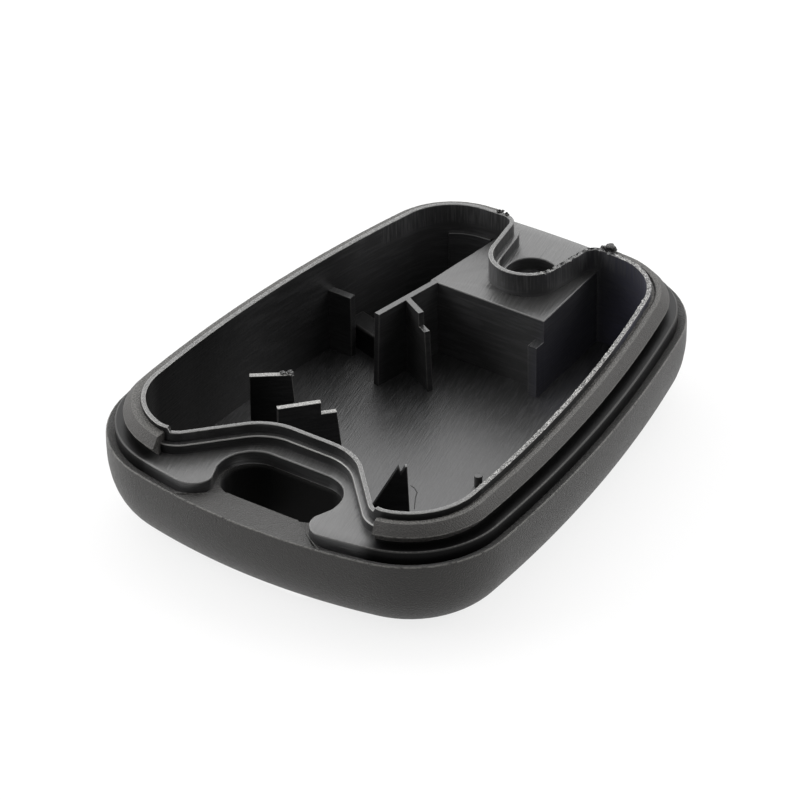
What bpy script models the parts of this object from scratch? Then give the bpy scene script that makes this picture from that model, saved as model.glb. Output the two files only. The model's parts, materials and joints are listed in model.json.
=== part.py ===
"""Lower half of a remote key case: an outer shell, the moulded tray inside it and two rim bands.

Metres, +Z up. The case lies on its flat underside at Z = 0, with the origin under its middle.
+Y runs from the key ring slot to the end where the blade leaves. The case opens upwards.
"""
import math

import bmesh
import bpy
from mathutils import Matrix, Vector

# Outline of the basin edge, seen from above. Everything round the case is an offset of it.
FRONT_CORNER_X = 0.0109
FRONT_CORNER_Y = -0.0166
FRONT_CORNER_RADIUS = 0.0067
REAR_CORNER_X = 0.0076
REAR_CORNER_Y = 0.0176
REAR_CORNER_RADIUS = 0.00605
FRONT_BOW_RADIUS = 0.058
SIDE_BOW_RADIUS = 0.140
REAR_BOW_RADIUS = 0.115

# Clearance between pieces that touch, and how far a cutter runs past what it cuts.
FIT_GAP = 0.0003
OVERRUN = 0.0010

# Outer shell: a bowl whose wall curves in to a flat underside.
RIM_LEVEL = 0.0086
RIM_WIDTH = 0.00075
BASE_INSET = 0.0062
WALL_SQUARENESS = 2.37
WALL_BULGE = 0.0002
SHELL_FLOOR = 0.0006

# Inner tray: floor, basin wall, thin lip, and the flange that closes the shell's mouth.
TRAY_FLOOR = 0.0007
TRAY_WALL = 0.0007
FLANGE_OFFSET = 0.0030
FLANGE_RISE = 0.0011
FLANGE_THICKNESS = 0.0013
FLANGE_EDGE_RADIUS = 0.00035
LIP_THICKNESS = 0.00055
LIP_RISE = 0.0036
STEP_THICKNESS = 0.0010

# Wave wall: the front of the basin, which arches back round the key ring slot.
WAVE_LIP_RISE = 0.0031
WAVE_STEP_RISE = 0.0021
WAVE_FOOT_ANGLE = math.radians(-85)

# Key ring slot, through the shell and in front of the tray's plate.
SLOT_WIDTH = 0.0130
SLOT_LENGTH = 0.0063
SLOT_TO_RIM = 0.0040
SLOT_SIDE_STRAIGHT = 0.0003
SLOT_REAR_RADIUS = 0.0042
SLOT_LAND = 0.0009
SLOT_TUBE_WALL = 0.0006
LEDGE_THICKNESS = 0.0015
NECK_SETBACK = 0.0007
NECK_NARROWING = 0.0004
NECK_RADIUS = 0.0012
MOUTH_SPREAD = 0.0020

# Blade seat: the block at the rear, with the screw hole and the wall that guards it.
SEAT_DEPTH = 0.0103
SEAT_LEFT_FRONT_WIDTH = 0.0074
SEAT_LEFT_REAR_WIDTH = 0.0062
SEAT_RIGHT_FRONT_WIDTH = 0.0057
SEAT_RIGHT_REAR_WIDTH = 0.0052
SEAT_CORNER_RADIUS = 0.0006
SCREW_TO_REAR = 0.0039
HOLE_RADIUS = 0.00255
HOLE_CHAMFER = 0.00025
GUARD_SETBACK = 0.00055
GUARD_LAND = 0.00005
GUARD_SPREAD = 0.00095
GUARD_FLARE = 0.0012
GUARD_STEP_RISE = 0.0023

# Rim bands: a strip on each long side, cut off square at both ends.
BAND_FOOT_WIDTH = 0.0006
BAND_WIDTH = 0.0015
BAND_TOP_WIDTH = 0.0007
BAND_LOW_RISE = 0.0020
BAND_HIGH_RISE = 0.0031
BAND_FRONT_WRAP = 0.0010
BAND_LEFT_SETBACK = 0.0005
BAND_RIGHT_SETBACK = 0.0010

# Ribs on the tray's floor. A heading is the way a rib runs, turned from +X.
BOARD_DROP = 0.0004
BOARD_STOP_RISE = 0.0009
RIB_FOOT_FLARE = 0.0004

SIDE_RIB_FROM_WALL = 0.0048
SIDE_RIB_FROM_WAVE = 0.0073
SIDE_RIB_LENGTH = 0.0040
SIDE_RIB_THICKNESS = 0.0008
SIDE_RIB_HEADING = math.radians(37)

STEPPED_RIB_FROM_MIDDLE = 0.0074
STEPPED_RIB_FROM_WAVE = 0.0043
STEPPED_RIB_LENGTH = 0.0057
STEPPED_RIB_LOW_LENGTH = 0.0015
STEPPED_RIB_THICKNESS = 0.0008
STEPPED_RIB_HEADING = math.radians(48)

WALL_RIB_FROM_SEAT = 0.0049
WALL_RIB_LENGTH = 0.0022
WALL_RIB_THICKNESS = 0.0008
WALL_RIB_DROP = 0.0002

TEE_STEM_LENGTH = 0.0071
TEE_STEM_THICKNESS = 0.0008
TEE_STEM_HEADING = math.radians(-101)
TEE_ARM_FROM_SEAT = 0.0031
TEE_ARM_LENGTH = 0.0042
TEE_ARM_LOW_LENGTH = 0.0012
TEE_ARM_THICKNESS = 0.0007
TEE_ARM_HEADING = math.radians(-28)

TAB_WIDTH = 0.0010
TAB_LENGTH = 0.0010
TAB_DROP = 0.0013

GUSSET_BEARING = math.radians(73)
GUSSET_LENGTH = 0.0050
GUSSET_THICKNESS = 0.0007
GUSSET_HEADING = math.radians(33)
GUSSET_TOE_RISE = 0.0006
GUSSET_PEAK_LENGTH = 0.0013
GUSSET_NOTCH_WIDTH = 0.0010
GUSSET_NOTCH_DEPTH = 0.0010

STOP_FROM_RIB = 0.0012
STOP_LENGTH = 0.0022
STOP_SKEW = 0.0018
STOP_RISE = 0.0026

PIP_FROM_MIDDLE = 0.0092
PIP_FROM_WAVE = 0.0134
PIP_RADIUS = 0.0004
PIP_RISE = 0.0009

# How finely the curves are drawn, and how near two points are the same.
ARC_STEP = math.radians(11)
BOW_PIECES = 7
WALL_STEPS = 8
EDGE_STEPS = 3
HOLE_SIDES = 28
PIP_SIDES = 12
STRAIGHT_TURN = math.radians(0.2)
SMOOTH_TURN = math.radians(35)
MERGE_DISTANCE = 0.000001
QUARTER_TURN = math.pi / 2

# Levels that follow from the sizes above.
TRAY_UNDERSIDE = SHELL_FLOOR + FIT_GAP
FLOOR_LEVEL = TRAY_UNDERSIDE + TRAY_FLOOR
RIB_FOOT_LEVEL = FLOOR_LEVEL + FIT_GAP
FLANGE_LEVEL = RIM_LEVEL + FLANGE_RISE
FLANGE_UNDERSIDE = FLANGE_LEVEL - FLANGE_THICKNESS
LIP_LEVEL = RIM_LEVEL + LIP_RISE
BOARD_LEVEL = RIM_LEVEL - BOARD_DROP
BOARD_STOP_LEVEL = RIM_LEVEL + BOARD_STOP_RISE
MOUTH_OFFSET = FLANGE_OFFSET + FIT_GAP
RIM_OFFSET = MOUTH_OFFSET + RIM_WIDTH
BASE_OFFSET = RIM_OFFSET - BASE_INSET
SLOT_FRONT_RADIUS = SLOT_LENGTH - SLOT_REAR_RADIUS - SLOT_SIDE_STRAIGHT
GUARD_RADIUS = HOLE_RADIUS + HOLE_CHAMFER + GUARD_LAND + GUARD_SPREAD
WAVE_RADIUS = SLOT_REAR_RADIUS + SLOT_LAND + STEP_THICKNESS

CASE_NAME = "remote_key_case"


def clear_scene():
    """Remove whatever the scene holds."""
    for thing in list(bpy.data.objects):
        bpy.data.objects.remove(thing)


def new_collection(name):
    group = bpy.data.collections.new(name)
    bpy.context.scene.collection.children.link(group)
    return group


def new_material(name, colour, roughness):
    """A plastic with a plain colour and roughness."""
    material = bpy.data.materials.new(name)
    material.use_nodes = True
    shader = material.node_tree.nodes["Principled BSDF"]
    shader.inputs["Base Color"].default_value = (*colour, 1.0)
    shader.inputs["Roughness"].default_value = roughness
    shader.inputs["Metallic"].default_value = 0.0
    return material


def towards(turn):
    """The unit vector at an angle from +X."""
    return Vector((math.cos(turn), math.sin(turn)))


def bearing(start, end):
    """The angle from +X at which one point lies from another."""
    return math.atan2(end.y - start.y, end.x - start.x)


def arc_points(centre, radius, start, end, pieces=None):
    """Points along an arc, without its last one."""
    if pieces is None:
        pieces = max(1, math.ceil(abs(end - start) / ARC_STEP))
    return [centre + radius * towards(start + (end - start) * k / pieces) for k in range(pieces)]


def bow_centre(corner, bow_radius, corner_radius, side):
    """Centre on the Y axis of the bow that a corner arc touches from inside. Side -1 is the front."""
    return Vector((0, corner.y - side * math.sqrt((bow_radius - corner_radius) ** 2 - corner.x ** 2)))


def corner_centres():
    """Centres of the front bow, front corner, side bow, rear corner and rear bow, on the +X side."""
    front = Vector((FRONT_CORNER_X, FRONT_CORNER_Y))
    rear = Vector((REAR_CORNER_X, REAR_CORNER_Y))
    # The side bow touches both corner arcs from inside, so its centre is where two circles cross.
    to_front = SIDE_BOW_RADIUS - FRONT_CORNER_RADIUS
    to_rear = SIDE_BOW_RADIUS - REAR_CORNER_RADIUS
    span = (rear - front).length
    along = (to_front ** 2 - to_rear ** 2 + span ** 2) / (2 * span)
    heading = (rear - front) / span
    aside = Vector((-heading.y, heading.x)) * math.sqrt(to_front ** 2 - along ** 2)
    front_bow = bow_centre(front, FRONT_BOW_RADIUS, FRONT_CORNER_RADIUS, -1)
    rear_bow = bow_centre(rear, REAR_BOW_RADIUS, REAR_CORNER_RADIUS, 1)
    return front_bow, front, front + heading * along + aside, rear, rear_bow


def both_sides(half):
    """A closed outline from its +X half, which starts and ends on the Y axis."""
    return half + [Vector((-p.x, p.y)) for p in reversed(half[1:-1])]


def case_outline(offset):
    """The plain outline of the case, this far outside the basin edge."""
    front_bow, front, side_bow, rear, rear_bow = corner_centres()
    turns = [bearing(front_bow, front), bearing(side_bow, front)]
    turns += [bearing(side_bow, rear), bearing(rear_bow, rear)]
    half = arc_points(front_bow, FRONT_BOW_RADIUS + offset, -QUARTER_TURN, turns[0], BOW_PIECES)
    half += arc_points(front, FRONT_CORNER_RADIUS + offset, turns[0], turns[1])
    half += arc_points(side_bow, SIDE_BOW_RADIUS + offset, turns[1], turns[2], BOW_PIECES)
    half += arc_points(rear, REAR_CORNER_RADIUS + offset, turns[2], turns[3])
    half += arc_points(rear_bow, REAR_BOW_RADIUS + offset, turns[3], QUARTER_TURN, BOW_PIECES)
    half.append(Vector((0, rear_y(offset))))
    return both_sides(half)


def side_x(y, offset=0):
    """Half the width of the case at a place on its long sides."""
    side_bow = corner_centres()[2]
    return side_bow.x + math.sqrt((SIDE_BOW_RADIUS + offset) ** 2 - (y - side_bow.y) ** 2)


def front_y(offset=0):
    return corner_centres()[0].y - FRONT_BOW_RADIUS - offset


def rear_y(offset=0):
    return corner_centres()[4].y + REAR_BOW_RADIUS + offset


def fillet(before, point, after, radius):
    """Points that round a corner off between the points before and after it."""
    back, on = (before - point).normalized(), (after - point).normalized()
    half_angle = back.angle(on) / 2
    centre = point + (back + on).normalized() * radius / math.sin(half_angle)
    reach = radius / math.tan(half_angle)
    start, end = bearing(centre, point + back * reach), bearing(centre, point + on * reach)
    if abs(end - start) > math.pi:
        end += math.copysign(2 * math.pi, start - end)
    return arc_points(centre, radius, start, end) + [centre + radius * towards(end)]


def rounded(corners):
    """A path through corners given as (x, y, fillet radius). The first and last stay as they are."""
    places = [Vector(corner[:2]) for corner in corners]
    path = [places[0]]
    for k in range(1, len(corners) - 1):
        radius = corners[k][2]
        path += fillet(places[k - 1], places[k], places[k + 1], radius) if radius else [places[k]]
    return path + [places[-1]]


def slot_front_y():
    return front_y(RIM_OFFSET) + SLOT_TO_RIM


def slot_rear_y():
    return slot_front_y() + SLOT_LENGTH


def wave_crest_y():
    return slot_rear_y() + SLOT_LAND + STEP_THICKNESS


def screw_y():
    return rear_y() - SCREW_TO_REAR


def seat_front_y():
    return rear_y() - SEAT_DEPTH


def wall_rib_y():
    return seat_front_y() - WALL_RIB_FROM_SEAT


def wave_centre():
    """The middle of the slot's rear corner, which the wave wall's shoulder follows."""
    return Vector((SLOT_WIDTH / 2 - SLOT_REAR_RADIUS, slot_rear_y() - SLOT_REAR_RADIUS))


def wave_slope():
    """The wave wall's foot on the front corner, and the bearing at which its slope leaves the shoulder."""
    foot = corner_centres()[1] + FRONT_CORNER_RADIUS * towards(WAVE_FOOT_ANGLE)
    centre = wave_centre()
    return foot, bearing(centre, foot) + math.acos(WAVE_RADIUS / (foot - centre).length)


def wave_form(offset):
    """What the wave wall leaves in front of the basin, this far outside its edge."""
    foot, turn = wave_slope()
    centre, radius = wave_centre(), WAVE_RADIUS - offset
    slope_end = centre + radius * towards(turn) + 2 * (foot - centre).length * towards(turn - QUARTER_TURN)
    half = [Vector((0, slope_end.y)), slope_end] + arc_points(centre, radius, turn, QUARTER_TURN)
    half += [Vector((centre.x, centre.y + radius)), Vector((0, centre.y + radius))]
    return both_sides(half)


def guard_form(offset):
    """What the guard wall leaves behind the basin, round the screw hole."""
    radius = GUARD_RADIUS - offset
    middle, behind = screw_y() - GUARD_SETBACK, rear_y(RIM_OFFSET) + OVERRUN
    half = arc_points(Vector((0, middle)), radius, -QUARTER_TURN, 0)
    half += [Vector((radius, middle)), Vector((radius + GUARD_FLARE, behind)), Vector((0, behind))]
    return both_sides(half)


def place(name, bm, group, material=None):
    """Make an object of a finished bmesh, with its faces turned outwards."""
    bmesh.ops.recalc_face_normals(bm, faces=bm.faces)
    mesh = bpy.data.meshes.new(name)
    bm.to_mesh(mesh)
    bm.free()
    if material:
        mesh.materials.append(material)
    thing = bpy.data.objects.new(name, mesh)
    group.objects.link(thing)
    return thing


def skin(bm, rings):
    """Faces between each ring of vertices and the next."""
    for ring, beside in zip(rings, rings[1:]):
        for k in range(len(ring)):
            after = (k + 1) % len(ring)
            bm.faces.new((ring[k], ring[after], beside[after], beside[k]))


def ring_at(bm, offset, height):
    """The case's outline as a ring of vertices."""
    return [bm.verts.new((p.x, p.y, height)) for p in case_outline(offset)]


def stack(name, levels, group, material=None):
    """A closed solid lofted through offsets of the case's outline, given as (height, offset) pairs."""
    bm = bmesh.new()
    rings = [ring_at(bm, offset, height) for height, offset in levels]
    skin(bm, rings)
    bm.faces.new(rings[0])
    bm.faces.new(rings[-1])
    return place(name, bm, group, material)


def corners_only(points):
    """An outline without the points that lie on a straight run, which a filled curve leaves open."""
    kept = []
    for k, point in enumerate(points):
        after = points[(k + 1) % len(points)]
        if (point - points[k - 1]).angle(after - point) > STRAIGHT_TURN:
            kept.append(point)
    return kept


def flat_solid(name, outline, low, high, group, material=None):
    """A flat outline with a thickness, from a filled 2D curve that is made a mesh and welded."""
    points = corners_only(outline)
    curve = bpy.data.curves.new(name, "CURVE")
    curve.dimensions = "2D"
    curve.fill_mode = "BOTH"
    curve.extrude = (high - low) / 2
    spline = curve.splines.new("POLY")
    spline.points.add(len(points) - 1)
    for corner, point in zip(spline.points, points):
        corner.co = (point.x, point.y, 0, 1)
    spline.use_cyclic_u = True
    drawn = bpy.data.objects.new(f"{name}_outline", curve)
    drawn.location.z = (high + low) / 2
    group.objects.link(drawn)
    bpy.context.view_layer.update()
    evaluated = drawn.evaluated_get(bpy.context.evaluated_depsgraph_get())
    bm = bmesh.new()
    bm.from_mesh(bpy.data.meshes.new_from_object(evaluated))
    bmesh.ops.remove_doubles(bm, verts=bm.verts, dist=MERGE_DISTANCE)
    solid = place(name, bm, group, material)
    solid.matrix_world = drawn.matrix_world.copy()
    bpy.data.objects.remove(drawn)
    return solid


def box_between(name, low, high, tools):
    """A helper box between two corners."""
    low, high = Vector(low), Vector(high)
    bm = bmesh.new()
    bmesh.ops.create_cube(bm, size=1, matrix=Matrix.LocRotScale((low + high) / 2, None, high - low))
    return place(name, bm, tools)


def upright_rib(name, profile, thickness, foot, heading, group, material=None):
    """A rib from its side view, as (distance along, height), standing at a foot point."""
    rib = flat_solid(name, profile, -thickness / 2, thickness / 2, group, material)
    turn = Matrix.Rotation(heading, 4, "Z") @ Matrix.Rotation(QUARTER_TURN, 4, "X")
    rib.matrix_world = Matrix.Translation(foot.to_3d()) @ turn @ rib.matrix_world
    return rib


def combine(target, tool, operation):
    """Join, cut or trim a solid with a helper solid."""
    modifier = target.modifiers.new(f"{operation.lower()} {tool.name}", "BOOLEAN")
    modifier.operation = operation
    modifier.solver = "EXACT"
    modifier.object = tool


def smooth(thing):
    thing.data.shade_smooth()
    thing.data.set_sharp_from_angle(angle=SMOOTH_TURN)


def wall_profile(top, bottom, top_offset, bulge):
    """(height, offset) pairs up a wall that starts flat, curves out and ends upright."""
    power = 2 / WALL_SQUARENESS
    pairs = []
    for k in range(WALL_STEPS, -1, -1):
        turn = QUARTER_TURN * k / WALL_STEPS
        drop = (top - bottom) * math.sin(turn) ** power
        inset = (top_offset - BASE_OFFSET) * (1 - max(math.cos(turn), 0) ** power)
        pairs.append((top - drop, top_offset - inset + bulge * math.sin(2 * turn)))
    return pairs


def bowl_inside():
    """(height, offset) pairs up the inside of the bowl."""
    return wall_profile(RIM_LEVEL, SHELL_FLOOR, MOUTH_OFFSET, 0)


def slot_outline(spread=0):
    """The key ring slot, straight in front and rounded behind."""
    half = SLOT_WIDTH / 2 + spread
    front, rear = slot_front_y() - spread, slot_rear_y() + spread
    corners = [(0, front, 0), (half, front, SLOT_FRONT_RADIUS + spread)]
    corners += [(half, rear, SLOT_REAR_RADIUS + spread), (0, rear, 0)]
    return both_sides(rounded(corners))


def mouth_corners(clearance):
    """Half the front mouth of the tray's plate: at the rim, and at the neck beside the slot."""
    neck = SLOT_WIDTH / 2 - NECK_NARROWING - clearance
    rim_y, neck_y = front_y(RIM_OFFSET) - OVERRUN, slot_front_y() - NECK_SETBACK
    return [(0, rim_y, 0), (neck + MOUTH_SPREAD, rim_y, 0), (neck, neck_y, NECK_RADIUS)]


def plate_notch():
    """The opening in the tray's plate: round the slot, then flaring out to the rim."""
    half, rear = SLOT_WIDTH / 2, slot_rear_y()
    beside = [(half, slot_front_y() + SLOT_FRONT_RADIUS, 0), (half, rear, SLOT_REAR_RADIUS), (0, rear, 0)]
    return both_sides(rounded(mouth_corners(0) + beside))


def ledge_outline():
    """The shell's ledge in front of the slot, which fills the mouth of the notch."""
    corners = [Vector(corner[:2]) for corner in mouth_corners(2 * FIT_GAP)]
    behind = slot_front_y() + OVERRUN
    return both_sides(corners + [Vector((corners[-1].x, behind)), Vector((0, behind))])


def seat_outline(clearance=0):
    """The blade seat's sides, run on past the rear of the case."""
    front, behind = seat_front_y() - clearance, rear_y(RIM_OFFSET) + OVERRUN
    radius = SEAT_CORNER_RADIUS + clearance
    corners = [(0, front, 0), (SEAT_RIGHT_FRONT_WIDTH + clearance, front, radius)]
    corners += [(SEAT_RIGHT_REAR_WIDTH + clearance, behind, 0)]
    corners += [(-SEAT_LEFT_REAR_WIDTH - clearance, behind, 0)]
    corners += [(-SEAT_LEFT_FRONT_WIDTH - clearance, front, radius), (0, front, 0)]
    return rounded(corners)[:-1]


def screw_bore(tools):
    """A turned cutter for the screw hole, a little wider from the platform up."""
    wide, high = HOLE_RADIUS + HOLE_CHAMFER, LIP_LEVEL + OVERRUN
    profile = [(0, high), (wide, high), (wide, FLANGE_LEVEL), (HOLE_RADIUS, FLANGE_LEVEL - HOLE_CHAMFER)]
    profile += [(HOLE_RADIUS, -OVERRUN), (0, -OVERRUN)]
    bm = bmesh.new()
    corners = [bm.verts.new((x, 0, z)) for x, z in profile]
    for pair in zip(corners, corners[1:]):
        bm.edges.new(pair)
    bore = place("screw_bore", bm, tools)
    bore.location.y = screw_y()
    turned = bore.modifiers.new("turned", "SCREW")
    turned.angle = 2 * math.pi
    turned.steps = HOLE_SIDES
    turned.render_steps = HOLE_SIDES
    turned.use_merge_vertices = True
    turned.merge_threshold = MERGE_DISTANCE
    return bore


def outer_shell(group, tools, material):
    """The bowl, with the tube of the key ring slot, the ledge in front of it and the screw hole."""
    shell = stack("outer_shell", wall_profile(RIM_LEVEL, 0, RIM_OFFSET, WALL_BULGE), group, material)
    mouth = [(RIM_LEVEL + OVERRUN, MOUTH_OFFSET)]
    cavity = stack("shell_cavity", bowl_inside() + mouth, tools)
    ledge = flat_solid("slot_ledge", ledge_outline(), RIM_LEVEL - LEDGE_THICKNESS, LIP_LEVEL, tools)
    tube = flat_solid("slot_tube", slot_outline(SLOT_TUBE_WALL), 0, FLANGE_UNDERSIDE - FIT_GAP, tools)
    combine(cavity, ledge, "DIFFERENCE")
    combine(cavity, tube, "DIFFERENCE")
    combine(shell, cavity, "DIFFERENCE")
    combine(shell, flat_solid("slot_cut", slot_outline(), -OVERRUN, LIP_LEVEL, tools), "DIFFERENCE")
    combine(shell, tools.objects["screw_bore"], "DIFFERENCE")
    smooth(shell)


def tray_profile():
    """(height, offset) pairs up the outside of the tray, which follows the bowl at its foot."""
    pairs = [(z + FIT_GAP, min(d - FIT_GAP, TRAY_WALL)) for z, d in bowl_inside()]
    return [pair for pair in pairs if pair[0] < FLANGE_UNDERSIDE] + [(FLANGE_LEVEL - FIT_GAP, TRAY_WALL)]


def flange_plate(name, tools):
    """The plate that closes the shell's mouth, solid across, with a rounded outer edge."""
    levels = [(FLANGE_UNDERSIDE, FLANGE_OFFSET)]
    for k in range(EDGE_STEPS + 1):
        turn = QUARTER_TURN * k / EDGE_STEPS
        height = FLANGE_LEVEL - FLANGE_EDGE_RADIUS * (1 - math.sin(turn))
        levels.append((height, FLANGE_OFFSET - FLANGE_EDGE_RADIUS * (1 - math.cos(turn))))
    return stack(name, levels, tools)


def basin_solid(name, offset, low, high, tools):
    """A solid with the basin's outline, this far outside its edge."""
    solid = flat_solid(name, case_outline(offset), low, high, tools)
    for form, outline in (("wave", wave_form(offset)), ("guard", guard_form(offset))):
        cutter = flat_solid(f"{name}_{form}", outline, low - OVERRUN, high + OVERRUN, tools)
        combine(solid, cutter, "DIFFERENCE")
    return solid


def wall_tools(tools):
    """The basin's cutter, and the solids whose rims the lip and the steps keep of it."""
    basin_solid("basin_cut", 0, FLOOR_LEVEL, LIP_LEVEL + OVERRUN, tools)
    root = FLANGE_LEVEL - FLANGE_THICKNESS / 2
    foot_x, front, rear = wave_slope()[0].x, front_y(RIM_OFFSET), rear_y(RIM_OFFSET)
    wave_end = wave_crest_y() + STEP_THICKNESS
    lip = basin_solid("lip", LIP_THICKNESS, root, LIP_LEVEL, tools)
    low, high = (-foot_x, front, RIM_LEVEL + WAVE_LIP_RISE), (foot_x, wave_end, LIP_LEVEL + OVERRUN)
    combine(lip, box_between("above_wave", low, high, tools), "DIFFERENCE")
    step = basin_solid("wave_step", STEP_THICKNESS, root, RIM_LEVEL + WAVE_STEP_RISE, tools)
    beside = box_between("wave_side", (-foot_x, front, 0), (foot_x, wave_end, LIP_LEVEL), tools)
    combine(step, beside, "INTERSECT")
    guard = basin_solid("guard_wall", GUARD_SPREAD, root, RIM_LEVEL + GUARD_STEP_RISE, tools)
    reach = GUARD_RADIUS + GUARD_FLARE
    around = box_between("guard_side", (-reach, seat_front_y(), 0), (reach, rear, LIP_LEVEL), tools)
    combine(guard, around, "INTERSECT")
    combine(guard, lip, "UNION")
    combine(guard, tools.objects["basin_cut"], "DIFFERENCE")


def inner_tray(group, tools, material):
    """Floor, basin wall with its lip and wave wall, and flange with the notch for the slot."""
    tray = stack("inner_tray", tray_profile(), group, material)
    combine(tray, flat_solid("wave_outside", wave_form(TRAY_WALL), -OVERRUN, LIP_LEVEL, tools), "DIFFERENCE")
    combine(tray, flange_plate("tray_plate", tools), "UNION")
    combine(tray, tools.objects["lip"], "UNION")
    combine(tray, tools.objects["wave_step"], "UNION")
    combine(tray, tools.objects["basin_cut"], "DIFFERENCE")
    above = LIP_LEVEL + OVERRUN
    combine(tray, flat_solid("notch_cut", plate_notch(), -OVERRUN, above, tools), "DIFFERENCE")
    pocket = flat_solid("seat_pocket", seat_outline(FIT_GAP), FLOOR_LEVEL - FIT_GAP, above, tools)
    combine(tray, pocket, "DIFFERENCE")
    combine(tray, tools.objects["screw_bore"], "DIFFERENCE")


def blade_seat(group, tools, material):
    """The block at the rear, its platform, the guard wall round the screw hole and the hole."""
    seat = flat_solid("blade_seat", seat_outline(), FLOOR_LEVEL, LIP_LEVEL + OVERRUN, group, material)
    form = stack("seat_form", tray_profile(), tools)
    combine(form, flange_plate("seat_plate", tools), "UNION")
    combine(form, tools.objects["guard_wall"], "UNION")
    combine(seat, form, "INTERSECT")
    combine(seat, tools.objects["screw_bore"], "DIFFERENCE")


def band_section():
    """(height, offset) corners of a rim band: a foot on the flange and a head that slopes outwards."""
    inner = LIP_THICKNESS + FIT_GAP
    foot, low, high = FLANGE_LEVEL + FIT_GAP, RIM_LEVEL + BAND_LOW_RISE, RIM_LEVEL + BAND_HIGH_RISE
    under, outer, top = inner + BAND_FOOT_WIDTH, inner + BAND_WIDTH, inner + BAND_TOP_WIDTH
    return [(foot, inner), (foot, under), (low, under), (low, outer), (high, top), (high, inner)]


def rim_band(name, side, rear_x, group, tools, material):
    """One band, swept round the case and cut off square in front, behind and along the other side."""
    bm = bmesh.new()
    rings = [ring_at(bm, offset, height) for height, offset in band_section()]
    skin(bm, rings + rings[:1])
    band = place(name, bm, group, material)
    far = side_x(FRONT_CORNER_Y, RIM_OFFSET) + OVERRUN
    front, rear = front_y(RIM_OFFSET) - OVERRUN, rear_y(RIM_OFFSET) + OVERRUN
    ends = (("front", FRONT_CORNER_X + BAND_FRONT_WRAP, front, 0), ("rear", rear_x, 0, rear))
    for end, inner_x, start, stop in ends:
        near, away = sorted((-side * far, side * inner_x))
        cutter = box_between(f"{name}_{end}_cut", (near, start, FLANGE_LEVEL), (away, stop, LIP_LEVEL), tools)
        combine(band, cutter, "DIFFERENCE")


def rib_profile(length, top, flare=RIB_FOOT_FLARE):
    """Side view of a rib: a foot that flares at the far end, and a top given as (distance, height) pairs."""
    return [Vector(corner) for corner in [(0, RIB_FOOT_LEVEL), (length + flare, RIB_FOOT_LEVEL)] + top]


def stepped_top(length, low_length, high):
    """The top of a rib whose far end drops to the circuit board's level."""
    step = length - low_length
    return [(length, BOARD_LEVEL), (step, BOARD_LEVEL), (step, high), (0, high)]


def side_rib(group, material):
    y = wave_crest_y() + SIDE_RIB_FROM_WAVE
    foot = Vector((SIDE_RIB_FROM_WALL - side_x(y), y))
    profile = rib_profile(SIDE_RIB_LENGTH, [(SIDE_RIB_LENGTH, BOARD_STOP_LEVEL), (0, BOARD_STOP_LEVEL)])
    upright_rib("side_rib", profile, SIDE_RIB_THICKNESS, foot, SIDE_RIB_HEADING, group, material)


def stepped_rib(group, material):
    foot = Vector((-STEPPED_RIB_FROM_MIDDLE, wave_crest_y() + STEPPED_RIB_FROM_WAVE))
    top = stepped_top(STEPPED_RIB_LENGTH, STEPPED_RIB_LOW_LENGTH, BOARD_STOP_LEVEL)
    profile = rib_profile(STEPPED_RIB_LENGTH, top)
    upright_rib("stepped_rib", profile, STEPPED_RIB_THICKNESS, foot, STEPPED_RIB_HEADING, group, material)


def wall_rib(group, material):
    level, y = RIM_LEVEL - WALL_RIB_DROP, wall_rib_y()
    profile = rib_profile(WALL_RIB_LENGTH, [(WALL_RIB_LENGTH, level), (0, level)])
    foot = Vector((FIT_GAP - side_x(y + WALL_RIB_THICKNESS / 2), y))
    upright_rib("wall_rib", profile, WALL_RIB_THICKNESS, foot, 0, group, material)


def tee_corner():
    """Where the middle of the tee's stem starts, at the seat's left front corner."""
    half = TEE_STEM_THICKNESS / 2
    return Vector((half - SEAT_LEFT_FRONT_WIDTH, seat_front_y() - FIT_GAP - half))


def tee_rib(group, tools, material):
    """A stem that runs on from the seat's corner, and a stepped arm across it."""
    profile = rib_profile(TEE_STEM_LENGTH, [(TEE_STEM_LENGTH, FLANGE_LEVEL), (0, FLANGE_LEVEL)])
    foot, heading = tee_corner(), TEE_STEM_HEADING
    stem = upright_rib("tee_rib", profile, TEE_STEM_THICKNESS, foot, heading, group, material)
    profile = rib_profile(TEE_ARM_LENGTH, stepped_top(TEE_ARM_LENGTH, TEE_ARM_LOW_LENGTH, FLANGE_LEVEL))
    start = foot + TEE_ARM_FROM_SEAT * towards(heading)
    arm = upright_rib("tee_arm", profile, TEE_ARM_THICKNESS, start, TEE_ARM_HEADING, tools)
    combine(stem, arm, "UNION")


def corner_tab(group, material):
    """A short upright tab in front of the seat's right corner."""
    level = RIM_LEVEL - TAB_DROP
    foot = Vector((SEAT_RIGHT_FRONT_WIDTH - TAB_WIDTH / 2, seat_front_y() - FIT_GAP))
    profile = rib_profile(TAB_LENGTH, [(TAB_LENGTH, level), (0, level)], 0)
    upright_rib("corner_tab", profile, TAB_WIDTH, foot, -QUARTER_TURN, group, material)


def notched_gusset(group, material):
    """A rib that climbs away from the shoulder of the wave wall to a peak with a V notch."""
    foot = wave_centre() + (WAVE_RADIUS + FIT_GAP + GUSSET_THICKNESS / 2) * towards(GUSSET_BEARING)
    peak = GUSSET_LENGTH - GUSSET_PEAK_LENGTH
    top = [(GUSSET_LENGTH, FLANGE_LEVEL), (peak + GUSSET_NOTCH_WIDTH, FLANGE_LEVEL)]
    top += [(peak + GUSSET_NOTCH_WIDTH / 2, FLANGE_LEVEL - GUSSET_NOTCH_DEPTH), (peak, FLANGE_LEVEL)]
    top += [(0, RIB_FOOT_LEVEL + GUSSET_TOE_RISE)]
    profile = rib_profile(GUSSET_LENGTH, top, 0)
    upright_rib("notched_gusset", profile, GUSSET_THICKNESS, foot, GUSSET_HEADING, group, material)


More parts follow.
